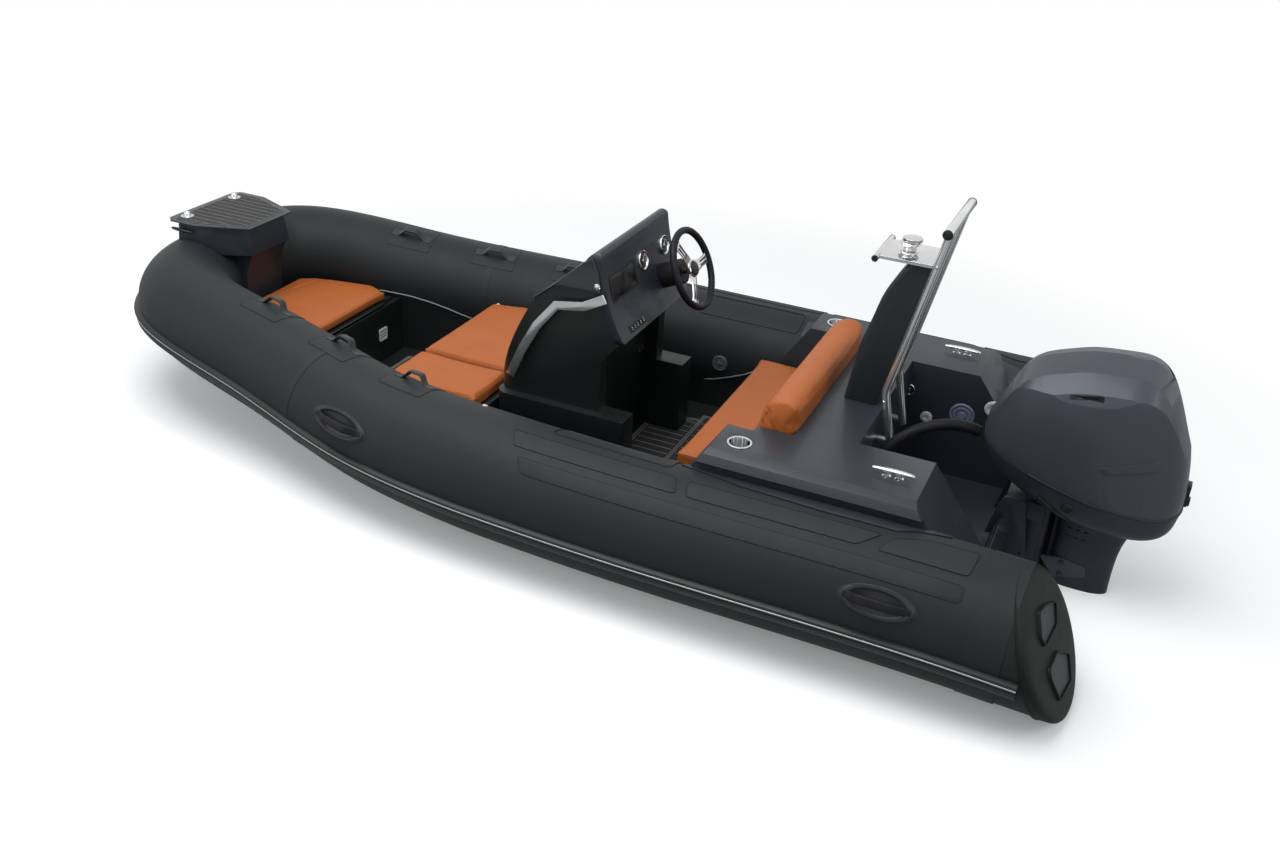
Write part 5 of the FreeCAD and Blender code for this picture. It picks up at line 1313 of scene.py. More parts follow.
# %% Tread planks and lines
def tread_lines(name, top, pitch, width, sides, border):
    """Pale inlays: fore-and-aft lines every pitch inside a border that follows the outline."""
    work = bmesh.new()
    for outline in sides:
        corners = [Vector(p) for p in outline]
        middle = sum(corners, Vector((0, 0))) / len(corners)
        for grow in border:
            ring = inset_outline(corners, grow)
            inner = inset_outline(corners, grow + width)
            for a, b, c, d in zip(ring, ring[1:] + ring[:1], inner[1:] + inner[:1], inner):
                slab(work, [Vector((p.x, p.y, top - 0.0008)) for p in (a, b, c, d)], (0, 0, 0.0012))
        inside = inset_outline(corners, border[-1] + width * 3)
        low_y, high_y = min(p.y for p in inside), max(p.y for p in inside)
        count = int((high_y - low_y) / 2 / pitch)
        for i in range(-count, count + 1):
            y = (low_y + high_y) / 2 + i * pitch
            crossings = []
            for a, b in zip(inside, inside[1:] + inside[:1]):
                if (a.y - y) * (b.y - y) < 0:
                    crossings.append(a.x + (b.x - a.x) * (y - a.y) / (b.y - a.y))
            if len(crossings) == 2:
                x0, x1 = sorted(crossings)
                slab(work, [(x0, y - width / 2, top - 0.0008), (x1, y - width / 2, top - 0.0008),
                            (x1, y + width / 2, top - 0.0008), (x0, y + width / 2, top - 0.0008)],
                            (0, 0, 0.0012))
    piece(name, to_mesh(name, work), tread_line, "boat")


def top_outlines(node_name):
    """The plan outline of each separate solid in a node."""
    work = bmesh.new()
    work.from_mesh(nodes[node_name].data)
    bmesh.ops.remove_doubles(work, verts=work.verts, dist=0.00005)
    seen, outlines = set(), []
    for v in work.verts:
        if v in seen:
            continue
        group, stack = [], [v]
        seen.add(v)
        while stack:
            current = stack.pop()
            group.append(current)
            for edge in current.link_edges:
                other = edge.other_vert(current)
                if other not in seen:
                    seen.add(other)
                    stack.append(other)
        outlines.append(convex_outline([(p.co.x, p.co.y) for p in group]))
    work.free()
    return outlines


def foam_sheet(name, outline, low, high):
    work = bmesh.new()
    slab(work, [Vector((p[0], p[1], low)) for p in outline], (0, 0, high - low))
    piece(name, to_mesh(name, work), tread_foam, "boat")


FLOOR_PITCH, STEP_PITCH, LINE_WIDTH = 0.062, 0.038, 0.0042
STEP_MARGIN, SHEET = 0.026, 0.0012
HELM_FLOOR = 0.050
HELM_TREAD = [(1.445, -0.425), (1.600, -0.378), (1.678, -0.340), (1.678, 0.240), (1.445, 0.240)]

softened("floor_tread", tread_foam, 0.001, "deck_tread")
floor_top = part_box("floor_tread")[1][2]
tread_lines("floor_tread_lines", floor_top, FLOOR_PITCH, LINE_WIDTH, top_outlines("floor_tread"),
            (0.004, 0.014))
foam_sheet("helm_tread", HELM_TREAD, HELM_FLOOR - 0.001, HELM_FLOOR + 0.004)
tread_lines("helm_tread_lines", HELM_FLOOR + 0.004, FLOOR_PITCH * 0.75, LINE_WIDTH, [HELM_TREAD],
            (0.004, 0.016))
softened("bow_step_tread", deck_gelcoat, 0.0008, "deck_tread")
step_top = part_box("bow_step_tread")[1][2]
step_foam = [inset_outline([Vector(p) for p in outline],
                           STEP_MARGIN) for outline in top_outlines("bow_step_tread")]
for number, outline in enumerate(step_foam):
    foam_sheet("bow_step_foam_%d" % number, outline, step_top - SHEET, step_top + SHEET)
tread_lines("step_tread_lines", step_top + SHEET, STEP_PITCH, LINE_WIDTH * 0.5, step_foam, (0.002,))

# %% [markdown]
# ## Small fittings
# A fitting on a flat face is drawn in that face's own plane: right, up and out, in metres.  The map
# from the plane to the boat is one small function, so a bezel or a switch is a few flat outlines.

# %% Fittings drawn in a plane
def plane_map(origin, normal, up):
    """Maps (right, up, out) on a face, seen from outside, to the boat."""
    out = Vector(normal).normalized()
    high = (Vector(up) - out * out.dot(Vector(up))).normalized()
    right = high.cross(out)
    start = Vector(origin)
    return lambda u, v, h=0.0: start + right * u + high * v + out * h


def box_outline(width, height, u=0.0, v=0.0):
    return [(u - width / 2, v - height / 2), (u + width / 2, v - height / 2),
            (u + width / 2, v + height / 2), (u - width / 2, v + height / 2)]


def add_plate(work, place, corners, radius, low, high, steps=5):
    """A plate with rounded corners, from one height over the face to another."""
    outline = rounded_outline(corners, radius, steps)
    loft(work, [[place(p.x, p.y, h) for p in outline] for h in (low, high)])


def add_frame(work, place, corners, radius, width, low, high):
    """A rim round an outline, open in the middle."""
    outer = rounded_outline(corners, radius)
    middle = middle_of(outer)
    inner = [p + (middle - p).normalized() * width for p in outer]
    rings = [(outer, low), (outer, high), (inner, high), (inner, low)]
    loft(work, [[place(p.x, p.y, h) for p in ring] for ring, h in rings], caps=False)


def add_turned(work, place, u, v, profile, steps=40):
    """A (radius, height) profile turned about a face's normal."""
    loft(work, [[place(u + r * math.cos(a), v + r * math.sin(a), h)
                 for a in turn_steps(steps)] for r, h in profile])


def fitting(name, build, material, body, bevel=0.0, both=False, angle=34):
    work = bmesh.new()
    build(work)
    if bevel:
        bevel_sharp(work, bevel, 2)
    if both:
        mirror_mesh(work)
    return piece(name, to_mesh(name, work, angle), material, body)


def dome_screw(work, place, u, v, radius):
    add_turned(work, place, u, v, [(radius, -0.001), (radius, radius * 0.25), (radius * 0.8, radius * 0.55),
                                   (radius * 0.35, radius * 0.7), (0.0002, radius * 0.72)], 20)

# %% [markdown]
# ### The helm
# The wheel has a thick dark rim, three polished spokes and a dark hub.  It is made flat, with X along
# its own up direction, and then turned onto its shaft.

# %% Steering wheel
WHEEL_CENTRE = Vector((1.47, -0.175, 0.868))
WHEEL_TILT = math.radians(24)
WHEEL_OUT = Vector((-math.cos(WHEEL_TILT), 0.0, math.sin(WHEEL_TILT)))
WHEEL_UP = Vector((math.sin(WHEEL_TILT), 0.0, math.cos(WHEEL_TILT)))
RIM_RADIUS, RIM_HALF = 0.160, 0.0148
SPOKE_ANGLES = (30, 150, 270)

wheel_place = plane_map(WHEEL_CENTRE, WHEEL_OUT, WHEEL_UP)


def wheel_rim(work):
    rings = []
    for a in turn_steps(96):
        ring = []
        for b in turn_steps(20):
            swell = 1.0 + 0.035 * math.cos(3 * (a - math.radians(60)))
            r = RIM_RADIUS + RIM_HALF * math.cos(b) * min(1.0, swell)
            ring.append(wheel_place(r * math.sin(a), r * math.cos(a), RIM_HALF * math.sin(b) * 0.98))
        rings.append(ring)
    loft(work, rings + [rings[0]], caps=False)


def wheel_spokes(work):
    """Each spoke is a blade that narrows outward, dished back to the hub, with a fork at the rim."""
    for angle in SPOKE_ANGLES:
        a = math.radians(angle)
        ahead = Vector((-math.sin(a), math.cos(a)))
        across = Vector((ahead.y, -ahead.x))
        stations = ((0.030, 0.030, -0.004), (0.050, 0.024, 0.0), (0.085, 0.0195, 0.002),
                    (0.120, 0.0205, 0.001), (0.146, 0.027, 0.0), (0.152, 0.030, 0.0))
        rings = []
        for r, half, h in stations:
            ring = []
            for b in turn_steps(16):
                c = math.copysign(abs(math.cos(b)) ** 0.6, math.cos(b)) * half
                lift = math.copysign(abs(math.sin(b)) ** 0.6, math.sin(b)) * 0.0042
                p = ahead * r + across * c
                ring.append(wheel_place(p.x, p.y, h + lift))
            rings.append(ring)
        loft(work, rings)


def spoke_slots(work):
    """Two long dark slots pressed in each spoke."""
    for angle in SPOKE_ANGLES:
        a = math.radians(angle)
        ahead = Vector((-math.sin(a), math.cos(a)))
        across = Vector((ahead.y, -ahead.x))
        for side in (-1, 1):
            corners = []
            for r, c in ((0.066, 0.004), (0.130, 0.004), (0.134, 0.0135), (0.070, 0.0115)):
                p = ahead * r + across * c * side
                corners.append((p.x, p.y))
            add_plate(work, wheel_place, corners, 0.004, 0.0035, 0.0064)


def wheel_hub(work):
    add_turned(work, wheel_place, 0, 0, [(0.034, -0.012), (0.036, -0.006), (0.036, 0.004), (0.033, 0.0065),
                                         (0.0315, 0.0065)], 48)


def wheel_cap(work):
    add_turned(work, wheel_place, 0, 0, [(0.0315, 0.004), (0.0312, 0.0085), (0.028, 0.0125),
                                         (0.018, 0.0155),
                                         (0.006, 0.0165), (0.0003, 0.0166)], 48)


fitting("wheel_rim", wheel_rim, hose_rubber, "steering_wheel", angle=60)
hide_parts("steering_wheel")
fitting("wheel_spokes", wheel_spokes, polished_steel, "steering_wheel", angle=40)
fitting("wheel_spoke_slots", spoke_slots, black_plastic, "steering_wheel", 0.0008)
fitting("wheel_hub", wheel_hub, polished_steel, "steering_wheel")
fitting("wheel_cap", wheel_cap, black_plastic, "steering_wheel")
softened("helm_hub", black_plastic, 0.004, "black_plastic", angle=40.0)

# %% [markdown]
# ### The dash
# Fittings on curved mouldings are set down by a ray: it starts outside, runs along one axis and stops
# on the solid, which gives both the place and the way the surface faces.

# %% Rays on the solids
HELM_X, SIDE_START = 1.30, 0.5
solid_trees = {}


def cast(node_name, start, way):
    """Where a ray first meets a CAD solid, and the surface's direction there."""
    if node_name not in solid_trees:
        data = nodes[node_name].data
        solid_trees[node_name] = BVHTree.FromPolygons([v.co for v in data.vertices],
                                                      [p.vertices for p in data.polygons])
    hit, normal, _, _ = solid_trees[node_name].ray_cast(Vector(start), Vector(way).normalized())
    return hit, normal


def laid_plate(work, node_name, start_of, way, corners, radius, thick, sink=0.001):
    """A thin plate that follows a solid; start_of turns flat points into ray starts."""
    outline = refined(rounded_outline(corners, radius), 0.012)
    middle = middle_of(outline)
    rings = []
    for share, lift in ((1.0, -sink), (1.0, thick * 0.6), (0.97, thick), (0.75, thick), (0.5, thick),
                        (0.25, thick), (0.04, thick)):
        ring = []
        for p in outline:
            hit, normal = cast(node_name, start_of(middle.lerp(p, share)), way)
            ring.append(hit + normal * lift)
        rings.append(ring)
    loft(work, rings)


def on_dash(y, z):
    hit, normal = cast("dash", (HELM_X, y, z), AHEAD)
    return plane_map(hit, normal, UP)


# %% Display, gauges and switches
DISPLAY_Y, DISPLAY_Z = 0.167, 0.896
DISPLAY_SIZE = (0.212, 0.092)
GAUGE_PLACES = ((-0.026, 0.919), (-0.238, 0.919))
GAUGE_RADIUS = 0.041
SWITCH_Y, SWITCH_Z, SWITCH_SIZE = 0.166, 0.727, (0.142, 0.030)
SWITCH_STEPS = [(k - 2) * SWITCH_SIZE[0] / 5.4 for k in range(5)]


def display_face(work):
    add_plate(work, on_dash(DISPLAY_Y, DISPLAY_Z), box_outline(*DISPLAY_SIZE), 0.006, -0.004, 0.0035)


def display_rim(work):
    size = [side + 0.014 for side in DISPLAY_SIZE]
    add_frame(work, on_dash(DISPLAY_Y, DISPLAY_Z), box_outline(*size), 0.009, 0.008, -0.005, 0.0052)


def gauge_rims(work):
    for y, z in GAUGE_PLACES:
        r = GAUGE_RADIUS
        add_turned(work, on_dash(y, z), 0, 0, [(r, -0.002), (r * 1.01, 0.004), (r * 0.97, 0.0085),
                                               (r * 0.90, 0.0095),
                                               (r * 0.84, 0.0075), (r * 0.80, 0.003), (r * 0.79, -0.001)],
                                               56)


def gauge_faces(work):
    for y, z in GAUGE_PLACES:
        add_turned(work, on_dash(y, z), 0, 0, [(GAUGE_RADIUS * 0.83, -0.002), (GAUGE_RADIUS * 0.83, 0.0018),
                                               (GAUGE_RADIUS * 0.80, 0.0024), (0.0003, 0.0024)], 48)


def gauge_marks(work):
    """Thirteen plain ticks and a needle on each dial, with no figures."""
    for y, z in GAUGE_PLACES:
        place = on_dash(y, z)
        for k in range(13):
            a = math.radians(-35 + 250 * k / 12)
            ahead = Vector((math.cos(a), math.sin(a)))
            across = Vector((-ahead.y, ahead.x))
            half = 0.0009 if k % 3 == 0 else 0.0005
            corners = [ahead * GAUGE_RADIUS * r + across * half * s for r,
                       s in ((0.56, -1), (0.72, -1), (0.72, 1), (0.56, 1))]
            add_plate(work, place, [tuple(p) for p in corners], 0.0003, 0.0022, 0.0031, 1)
        corners = [(-0.004, -0.0012), (0.004, -0.0012), (GAUGE_RADIUS * 0.55, 0.022),
                   (GAUGE_RADIUS * 0.53, 0.0226)]
        add_plate(work, place, corners, 0.0004, 0.0030, 0.0040, 1)
        add_turned(work, place, 0, 0, [(0.006, 0.002), (0.006, 0.0046), (0.0042, 0.0056), (0.0002, 0.0058)],
                   24)


def switch_plate(work):
    add_plate(work, on_dash(SWITCH_Y, SWITCH_Z), box_outline(*SWITCH_SIZE), 0.004, -0.003, 0.002)


def switch_rockers(work):
    place = on_dash(SWITCH_Y, SWITCH_Z)
    for u in SWITCH_STEPS:
        add_plate(work, place, box_outline(0.018, 0.020, u), 0.002, 0.001, 0.0055)


def switch_marks(work):
    place = on_dash(SWITCH_Y, SWITCH_Z)
    for u in SWITCH_STEPS:
        add_plate(work, place, box_outline(0.010, 0.0016, u, -0.004), 0.0004, 0.005, 0.0061, 1)
        add_plate(work, place, box_outline(0.004, 0.004, u, 0.004), 0.001, 0.005, 0.0061, 2)


fitting("display_face", display_face, gloss_black, "boat", 0.0008)
fitting("display_rim", display_rim, black_plastic, "boat", 0.0008)
fitting("gauge_rims", gauge_rims, polished_steel, "boat")
fitting("gauge_faces", gauge_faces, black_plastic, "boat")
fitting("gauge_marks", gauge_marks, white_plastic, "boat")
fitting("switch_plate", switch_plate, gloss_black, "boat", 0.0006)
fitting("switch_rockers", switch_rockers, black_plastic, "boat", 0.0008)
fitting("switch_marks", switch_marks, white_plastic, "boat")

# %% Screen bolts and the socket plate under the dash
SCREEN_BOLT = (1.664, 0.326, 0.919)
SOCKET_Y, SOCKET_Z = -0.205, 0.440


def screen_bolts(work):
    hit, normal = cast("windscreen", (SCREEN_BOLT[0], 0.6, SCREEN_BOLT[2]), TO_STARBOARD)
    place = plane_map(hit, normal, UP)
    add_turned(work, place, 0, 0, [(0.013, -0.001), (0.013, 0.002), (0.010, 0.004), (0.010, 0.0055)], 32)
    dome_screw(work, lambda u, v, h: place(u, v, h + 0.0055), 0, 0, 0.008)


fitting("screen_bolts", screen_bolts, polished_steel, "boat", both=True)


def socket_plate(work):
    hit, normal = cast("console", (HELM_X, SOCKET_Y, SOCKET_Z), AHEAD)
    place = plane_map(hit, normal, UP)
    add_plate(work, place, box_outline(0.072, 0.046), 0.006, -0.002, 0.003)
    for u in (-0.017, 0.017):
        add_turned(work, place, u, 0, [(0.013, 0.002), (0.013, 0.006), (0.010, 0.0075), (0.008, 0.0045),
                                       (0.0003, 0.0045)], 28)


fitting("socket_plate", socket_plate, black_plastic, "boat", 0.0006)

# %% [markdown]
# ### Mast, bow and deck fittings
# The mast's bars end in black plugs.  Cleats are one casting: a bar whose horns taper and droop, on
# two flared feet.

# %% Mast
MAST_BAR_X, MAST_BAR_Z, MAST_BAR_HALF, MAST_BAR_RADIUS = 0.411, 1.338, 0.206, 0.018
SHELF_BAR_X, SHELF_BAR_Z, SHELF_BAR_HALF, SHELF_BAR_RADIUS = 0.665, 1.176, 0.125, 0.012


def bar_plugs(work):
    for x, z, half, radius in ((MAST_BAR_X, MAST_BAR_Z, MAST_BAR_HALF, MAST_BAR_RADIUS),
                               (SHELF_BAR_X, SHELF_BAR_Z, SHELF_BAR_HALF, SHELF_BAR_RADIUS)):
        r = radius * 1.03
        profile = [(-0.006, r * 0.9), (0.0, r), (0.0025, r), (0.004, r * 0.86), (0.0042, 0.0003)]
        lathe(work, profile, (x, half - 0.0005, z), TO_PORT, 36)


def tow_post(work):
    """A waisted post with a broad domed head on the shelf."""
    x, z = 0.570, 1.182
    lathe(work, [(0.0, 0.034), (0.004, 0.033), (0.008, 0.022), (0.018, 0.0195), (0.025, 0.024),
                 (0.028, 0.036),
                 (0.033, 0.0385), (0.038, 0.035), (0.0415, 0.023), (0.0425, 0.0003)], (x, 0, z), UP, 48)


def mast_bolts(work):
    for z in (0.62, 1.183):
        x = 0.553 + (0.411 - 0.553) * max(0.0, (z - 0.658) / (1.338 - 0.658))
        hit, normal = cast("mast_tubes", (x, 0.5, z), TO_STARBOARD)
        dome_screw(work, plane_map(hit, normal, UP), 0, 0, 0.006)


softened("mast_tubes", mast_steel, 0.0015, "polished_steel", angle=50.0)
fitting("mast_plugs", bar_plugs, black_plastic, "boat", both=True)
fitting("tow_post", tow_post, polished_steel, "boat", angle=45)
fitting("mast_bolts", mast_bolts, polished_steel, "boat", both=True)


# %% Cleats
def add_cleat(work, middle, along, up, length, height, radius):
    """A horn cleat: a tapering, nearly straight bar on two flared feet."""
    along, up = Vector(along).normalized(), Vector(up).normalized()
    across = along.cross(up)
    middle = Vector(middle)
    rings = []
    for i in range(25):
        u = 2 * i / 24 - 1
        r = radius * (1 - 0.42 * abs(u) ** 2.6)
        if i in (0, 24):
            r *= 0.55
        centre = middle + along * (u * length / 2) + up * (height - radius - radius * 0.22 * u * u)
        rings.append([centre + across * r * 1.15 * math.cos(a) + up * r * 0.85 * math.sin(a)
                      for a in turn_steps(20)])
    loft(work, rings)
    for side in (-1, 1):
        foot = middle + along * (side * length * 0.15)
        profile = [(-0.001, radius * 1.7), (0.0022, radius * 1.7), (0.005, radius * 1.0),
                   (height * 0.45, radius * 0.72),
                   (height - radius * 1.2, radius * 0.85)]
        lathe(work, profile, foot, up, 28)


AFT_CLEAT = (0.392, 0.577)
CLEAT_LENGTH, CLEAT_HEIGHT, CLEAT_RADIUS = 0.150, 0.034, 0.0095
BOW_CLEAT_X, BOW_CLEAT_Z = 3.805, 0.700


def aft_cleats(work):
    hit, _ = cast("aft_moulding", (AFT_CLEAT[0], AFT_CLEAT[1], 1.2), DOWN)
    add_cleat(work, hit, AHEAD, UP, CLEAT_LENGTH, CLEAT_HEIGHT, CLEAT_RADIUS)


def bow_cleats(work):
    hit, _ = cast("bow_step", (BOW_CLEAT_X, 0.6, BOW_CLEAT_Z), TO_STARBOARD)
    add_cleat(work, hit, (1, 0, 0.02), (0, 1, 0.08), 0.118, 0.028, 0.0075)


aft_cleat_piece = fitting("aft_cleats_cast", aft_cleats, polished_steel, "boat",
                          both=True, angle=50)
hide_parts("aft_cleats")
fitting("bow_cleats", bow_cleats, gloss_black, "boat", both=True, angle=50)

# %% Bow domes
LIGHT_XY, LIGHT_RADIUS = (3.8365, 0.159), 0.0188
LIGHT_FLANGE, LIGHT_FOOT = 0.029, 0.740


def bow_domes(work):
    x, y = LIGHT_XY
    r = LIGHT_RADIUS
    lathe(work, [(0.0, r), (0.003, r), (0.0055, r * 0.93), (0.0065, r * 0.86), (0.012, r * 0.84),
                 (0.018, r * 0.74),
                 (0.0225, r * 0.52), (0.0248, r * 0.25), (0.0254, 0.0003)], (x, y, LIGHT_FOOT), UP, 40)
    lathe(work, [(0.0, LIGHT_FLANGE), (0.0022, LIGHT_FLANGE), (0.0036, LIGHT_FLANGE * 0.93),
                 (0.0040, r * 0.95)],
          (x, y, LIGHT_FOOT), UP, 40)


def dome_seams(work):
    x, y = LIGHT_XY
    lathe(work, [(0.0056, LIGHT_RADIUS * 0.85), (0.0056, LIGHT_RADIUS * 0.90),
                 (0.0072, LIGHT_RADIUS * 0.885),
                 (0.0072, LIGHT_RADIUS * 0.84)], (x, y, LIGHT_FOOT), UP, 40)


dome_piece = fitting("bow_domes", bow_domes, polished_steel, "boat", both=True, angle=50)
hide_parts("bow_lights")
fitting("bow_dome_seams", dome_seams, black_plastic, "boat", both=True)

# %% [markdown]
# ### The outboard
# The cowl meets the lower pan along a line that sinks toward the tail.  A gasket follows that line
# right round: rays run in from outside at the line's height, and their hits are joined by a bead.

# %% Cowl gasket
ENGINE_BODY = nodes["cowl"]["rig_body"]
COWL_SEAM = ((0.161, 0.541), (0.073, 0.536), (-0.035, 0.508), (-0.132, 0.487), (-0.240, 0.462),
             (-0.338, 0.453),
             (-0.431, 0.443), (-0.490, 0.441), (-0.521, 0.444))
COWL_MIDDLE_X = -0.18
GASKET_RADIUS = 0.0042


def seam_height(x):
    points = sorted(COWL_SEAM)
    if x <= points[0][0]:
        return points[0][1]
    for (x0, z0), (x1, z1) in zip(points, points[1:]):
        if x <= x1:
            return z0 + (z1 - z0) * (x - x0) / (x1 - x0)
    return points[-1][1]


def gasket_points(steps=96):
    points = []
    for a in turn_steps(steps):
        way = Vector((-math.cos(a), -math.sin(a) * 0.6, 0.0)).normalized()
        z = seam_height(COWL_MIDDLE_X)
        for _ in range(4):
            hit, _ = cast("cowl", Vector((COWL_MIDDLE_X, 0.0, z + 0.010)) - way * 0.8, way)
            if hit is None:
                hit, _ = cast("engine_leg", Vector((COWL_MIDDLE_X, 0.0, z - 0.010)) - way * 0.8, way)
            z = seam_height(hit.x)
        points.append(Vector((hit.x, hit.y, z)))
    return points


def cowl_gasket(work):
    points = gasket_points()
    rings = []
    for i, point in enumerate(points):
        along = (points[(i + 1) % len(points)] - points[i - 1]).normalized()
        out = along.cross(Vector(UP)).normalized()
        up = out.cross(along)
        rings.append([point + (out * math.cos(b) + up * math.sin(b)) * GASKET_RADIUS
                      for b in turn_steps(10)])
    loft(work, rings + [rings[0]], caps=False)


fitting("cowl_gasket", cowl_gasket, black_plastic, ENGINE_BODY, angle=80)

# %% Intake, side slots and ledges
INTAKE_X, INTAKE_Z, INTAKE_HALF = -0.3625, (0.864, 0.913), 0.119
SLOT_CORNERS = [(-0.096, 0.838), (-0.203, 0.861), (-0.203, 0.875), (-0.094, 0.852)]
LEDGE_CORNERS = [(-0.246, 0.616), (-0.342, 0.650), (-0.431, 0.681), (-0.434, 0.643), (-0.345, 0.618),
                 (-0.260, 0.596)]


def intake_liner(work):
    low, high = INTAKE_Z
    place = plane_map((INTAKE_X - 0.0005, 0, (low + high) / 2), ASTERN, UP)
    add_plate(work, place, box_outline(2 * INTAKE_HALF, high - low), 0.012, 0.0, 0.0025)


def intake_slats(work):
    for k in range(3):
        z = INTAKE_Z[0] + 0.012 + k * 0.0125
        rod(work, [(INTAKE_X - 0.006, side * INTAKE_HALF * 0.94, z) for side in (-1, 1)], 0.0026, 10)


def side_ray(p):
    return (p.x, SIDE_START, p.y)


# A thin black plate laid in each recessed side slot is painted shade: it makes the shallow recess read as a
# deep, dark opening.
def slot_shade_plate(work):
    laid_plate(work, "cowl", side_ray, TO_STARBOARD, SLOT_CORNERS, 0.005, 0.0014)


def cowl_ledge(work):
    laid_plate(work, "cowl", side_ray, TO_STARBOARD, LEDGE_CORNERS, 0.008, 0.0035)


fitting("intake_liner", intake_liner, gloss_black, ENGINE_BODY)
fitting("intake_slats", intake_slats, black_plastic, ENGINE_BODY, angle=60)
fitting("cowl_slot_inlays", slot_shade_plate, black_plastic, ENGINE_BODY, both=True)
fitting("cowl_ledges", cowl_ledge, cowl_paint, ENGINE_BODY, both=True)

# %% Latches, grommets and ribs on the lower pan
GROMMET = (-0.177, 0.422)
LEVER_LINE = ((-0.070, 0.427), (-0.188, 0.354))
LEVER_WIDTH = 0.016
RIB_XS, RIB_Z, RIB_STEP = (-0.20, -0.23, -0.26), 0.245, 0.018


def pan_place(x, z):
    """A map on the pan's side, or nothing where the ray runs past it."""
    hit, normal = cast("engine_leg", (x, SIDE_START, z), TO_STARBOARD)
    return plane_map(hit, normal, UP) if hit is not None else None


def grommets(work):
    place = pan_place(*GROMMET)
    add_turned(work, place, 0, 0, [(0.023, -0.006), (0.023, 0.003), (0.018, 0.006), (0.010, 0.004),
                                   (0.0003, 0.003)], 32)


def lever_straps(work):
    (x0, z0), (x1, z1) = LEVER_LINE
    ahead = Vector((x1 - x0, z1 - z0)).normalized()
    across = Vector((-ahead.y, ahead.x)) * LEVER_WIDTH / 2
    start, stop = Vector((x0, z0)), Vector((x1, z1))
    corners = [start + across, start - across, stop - across, stop + across]
    laid_plate(work, "engine_leg", side_ray, TO_STARBOARD, [tuple(p) for p in corners], 0.006, 0.006)


def tail_latch(work):
    hit, _ = cast("cowl", (-1.2, 0.0, 0.500), AHEAD)
    place = plane_map(hit, ASTERN, UP)
    add_plate(work, place, box_outline(0.046, 0.092, 0.0, -0.012), 0.010, -0.010, 0.012)
    add_plate(work, place, box_outline(0.030, 0.030, 0.0, -0.040), 0.006, 0.010, 0.020)


def pan_ribs(work):
    for x in RIB_XS:
        for step in (-1, 1):
            place = pan_place(x, RIB_Z + step * RIB_STEP)
            if place:
                add_plate(work, place, box_outline(0.016, 0.006), 0.002, -0.002, 0.004)


fitting("pan_grommets", grommets, black_plastic, ENGINE_BODY, both=True)
fitting("pan_lever_straps", lever_straps, black_plastic, ENGINE_BODY, both=True)
fitting("tail_latch", tail_latch, black_plastic, ENGINE_BODY, 0.002)
fitting("pan_ribs", pan_ribs, engine_paint, ENGINE_BODY, 0.001, both=True)

# %% [markdown]
# Between the steering tube and the leg the real engine has its rubber mounts, so a dark half shell
# closes the gap there.  It turns with the leg about the steering axis and keeps clear of the tube.

# %% Mount shell and plated arm
STEER_X, MOUNT_INNER, MOUNT_OUTER, MOUNT_HALF_ANGLE = -0.100, 0.0445, 0.070, 52
MOUNT_Z = (0.020, 0.320)
ARM_CORNERS = [(-0.119, 0.112), (-0.206, 0.124), (-0.290, 0.110), (-0.296, 0.066), (-0.183, 0.035)]
ARM_BOLTS = ((-0.200, 0.108), (-0.203, 0.056))


def mount_shell(work):
    outline = []
    for radius, way in ((MOUNT_INNER, 1), (MOUNT_OUTER, -1)):
        for k in range(13):
            a = math.radians(180 + way * MOUNT_HALF_ANGLE * (k / 6 - 1))
            outline.append((STEER_X + radius * math.cos(a), radius * math.sin(a), MOUNT_Z[0]))
    slab(work, outline, (0, 0, MOUNT_Z[1] - MOUNT_Z[0]))


def arm_place():
    x, z = -0.215, 0.085
    hit, _ = cast("engine_leg", (x, 0.5, z), TO_STARBOARD)
    return plane_map(Vector((0.0, hit.y, 0.0)), TO_PORT, UP)


def plated_arms(work):
    add_plate(work, arm_place(), [(-x, z) for x, z in ARM_CORNERS], 0.012, -0.006, 0.007)


def arm_bolts(work):
    for x, z in ARM_BOLTS:
        add_turned(work, arm_place(), -x, z, [(0.013, 0.006), (0.013, 0.009), (0.0085, 0.0092),
                                              (0.0085, 0.015),
                                              (0.006, 0.016), (0.0003, 0.016)], 6)


fitting("mount_shell", mount_shell, hose_rubber, ENGINE_BODY, 0.003)
fitting("plated_arms", plated_arms, cowl_paint, ENGINE_BODY, 0.0015, both=True)
fitting("arm_bolts", arm_bolts, engine_paint, ENGINE_BODY, both=True)

# %% [markdown]
# ### The rigging hose
# The hose is a curve through the same places as its solid, with ribs along it.  It comes out of the
# well's fore wall and goes into the front of the lower pan.

# %% Rigging hose
HOSE_RADIUS, HOSE_RIB_RADIUS, HOSE_RIB_PITCH = 0.0215, 0.0225, 0.0085
HOSE_LENGTH, HOSE_SAMPLES = 0.468, 400
HOSE_ROUTE = ((0.562, 0.176, 0.383), (0.507, 0.160, 0.452), (0.446, 0.138, 0.520), (0.378, 0.110, 0.562),
              (0.300, 0.080, 0.580), (0.235, 0.053, 0.573), (0.194, 0.033, 0.554))


def hose_curve():
    data = bpy.data.curves.new("rigging_hose_line", "CURVE")
    data.dimensions = "3D"
    line = data.splines.new("NURBS")
    line.points.add(len(HOSE_ROUTE) - 1)
    for point, place in zip(line.points, HOSE_ROUTE):
        point.co = (*place, 1.0)
    line.order_u = 3
    line.use_endpoint_u = True
    line.resolution_u = 12
    data.bevel_depth = HOSE_RADIUS
    data.bevel_resolution = 5
    data.use_fill_caps = True
    data.materials.append(hose_rubber)
    thing = bpy.data.objects.new("rigging_hose_line", data)
    scene.collection.objects.link(thing)
    return thing


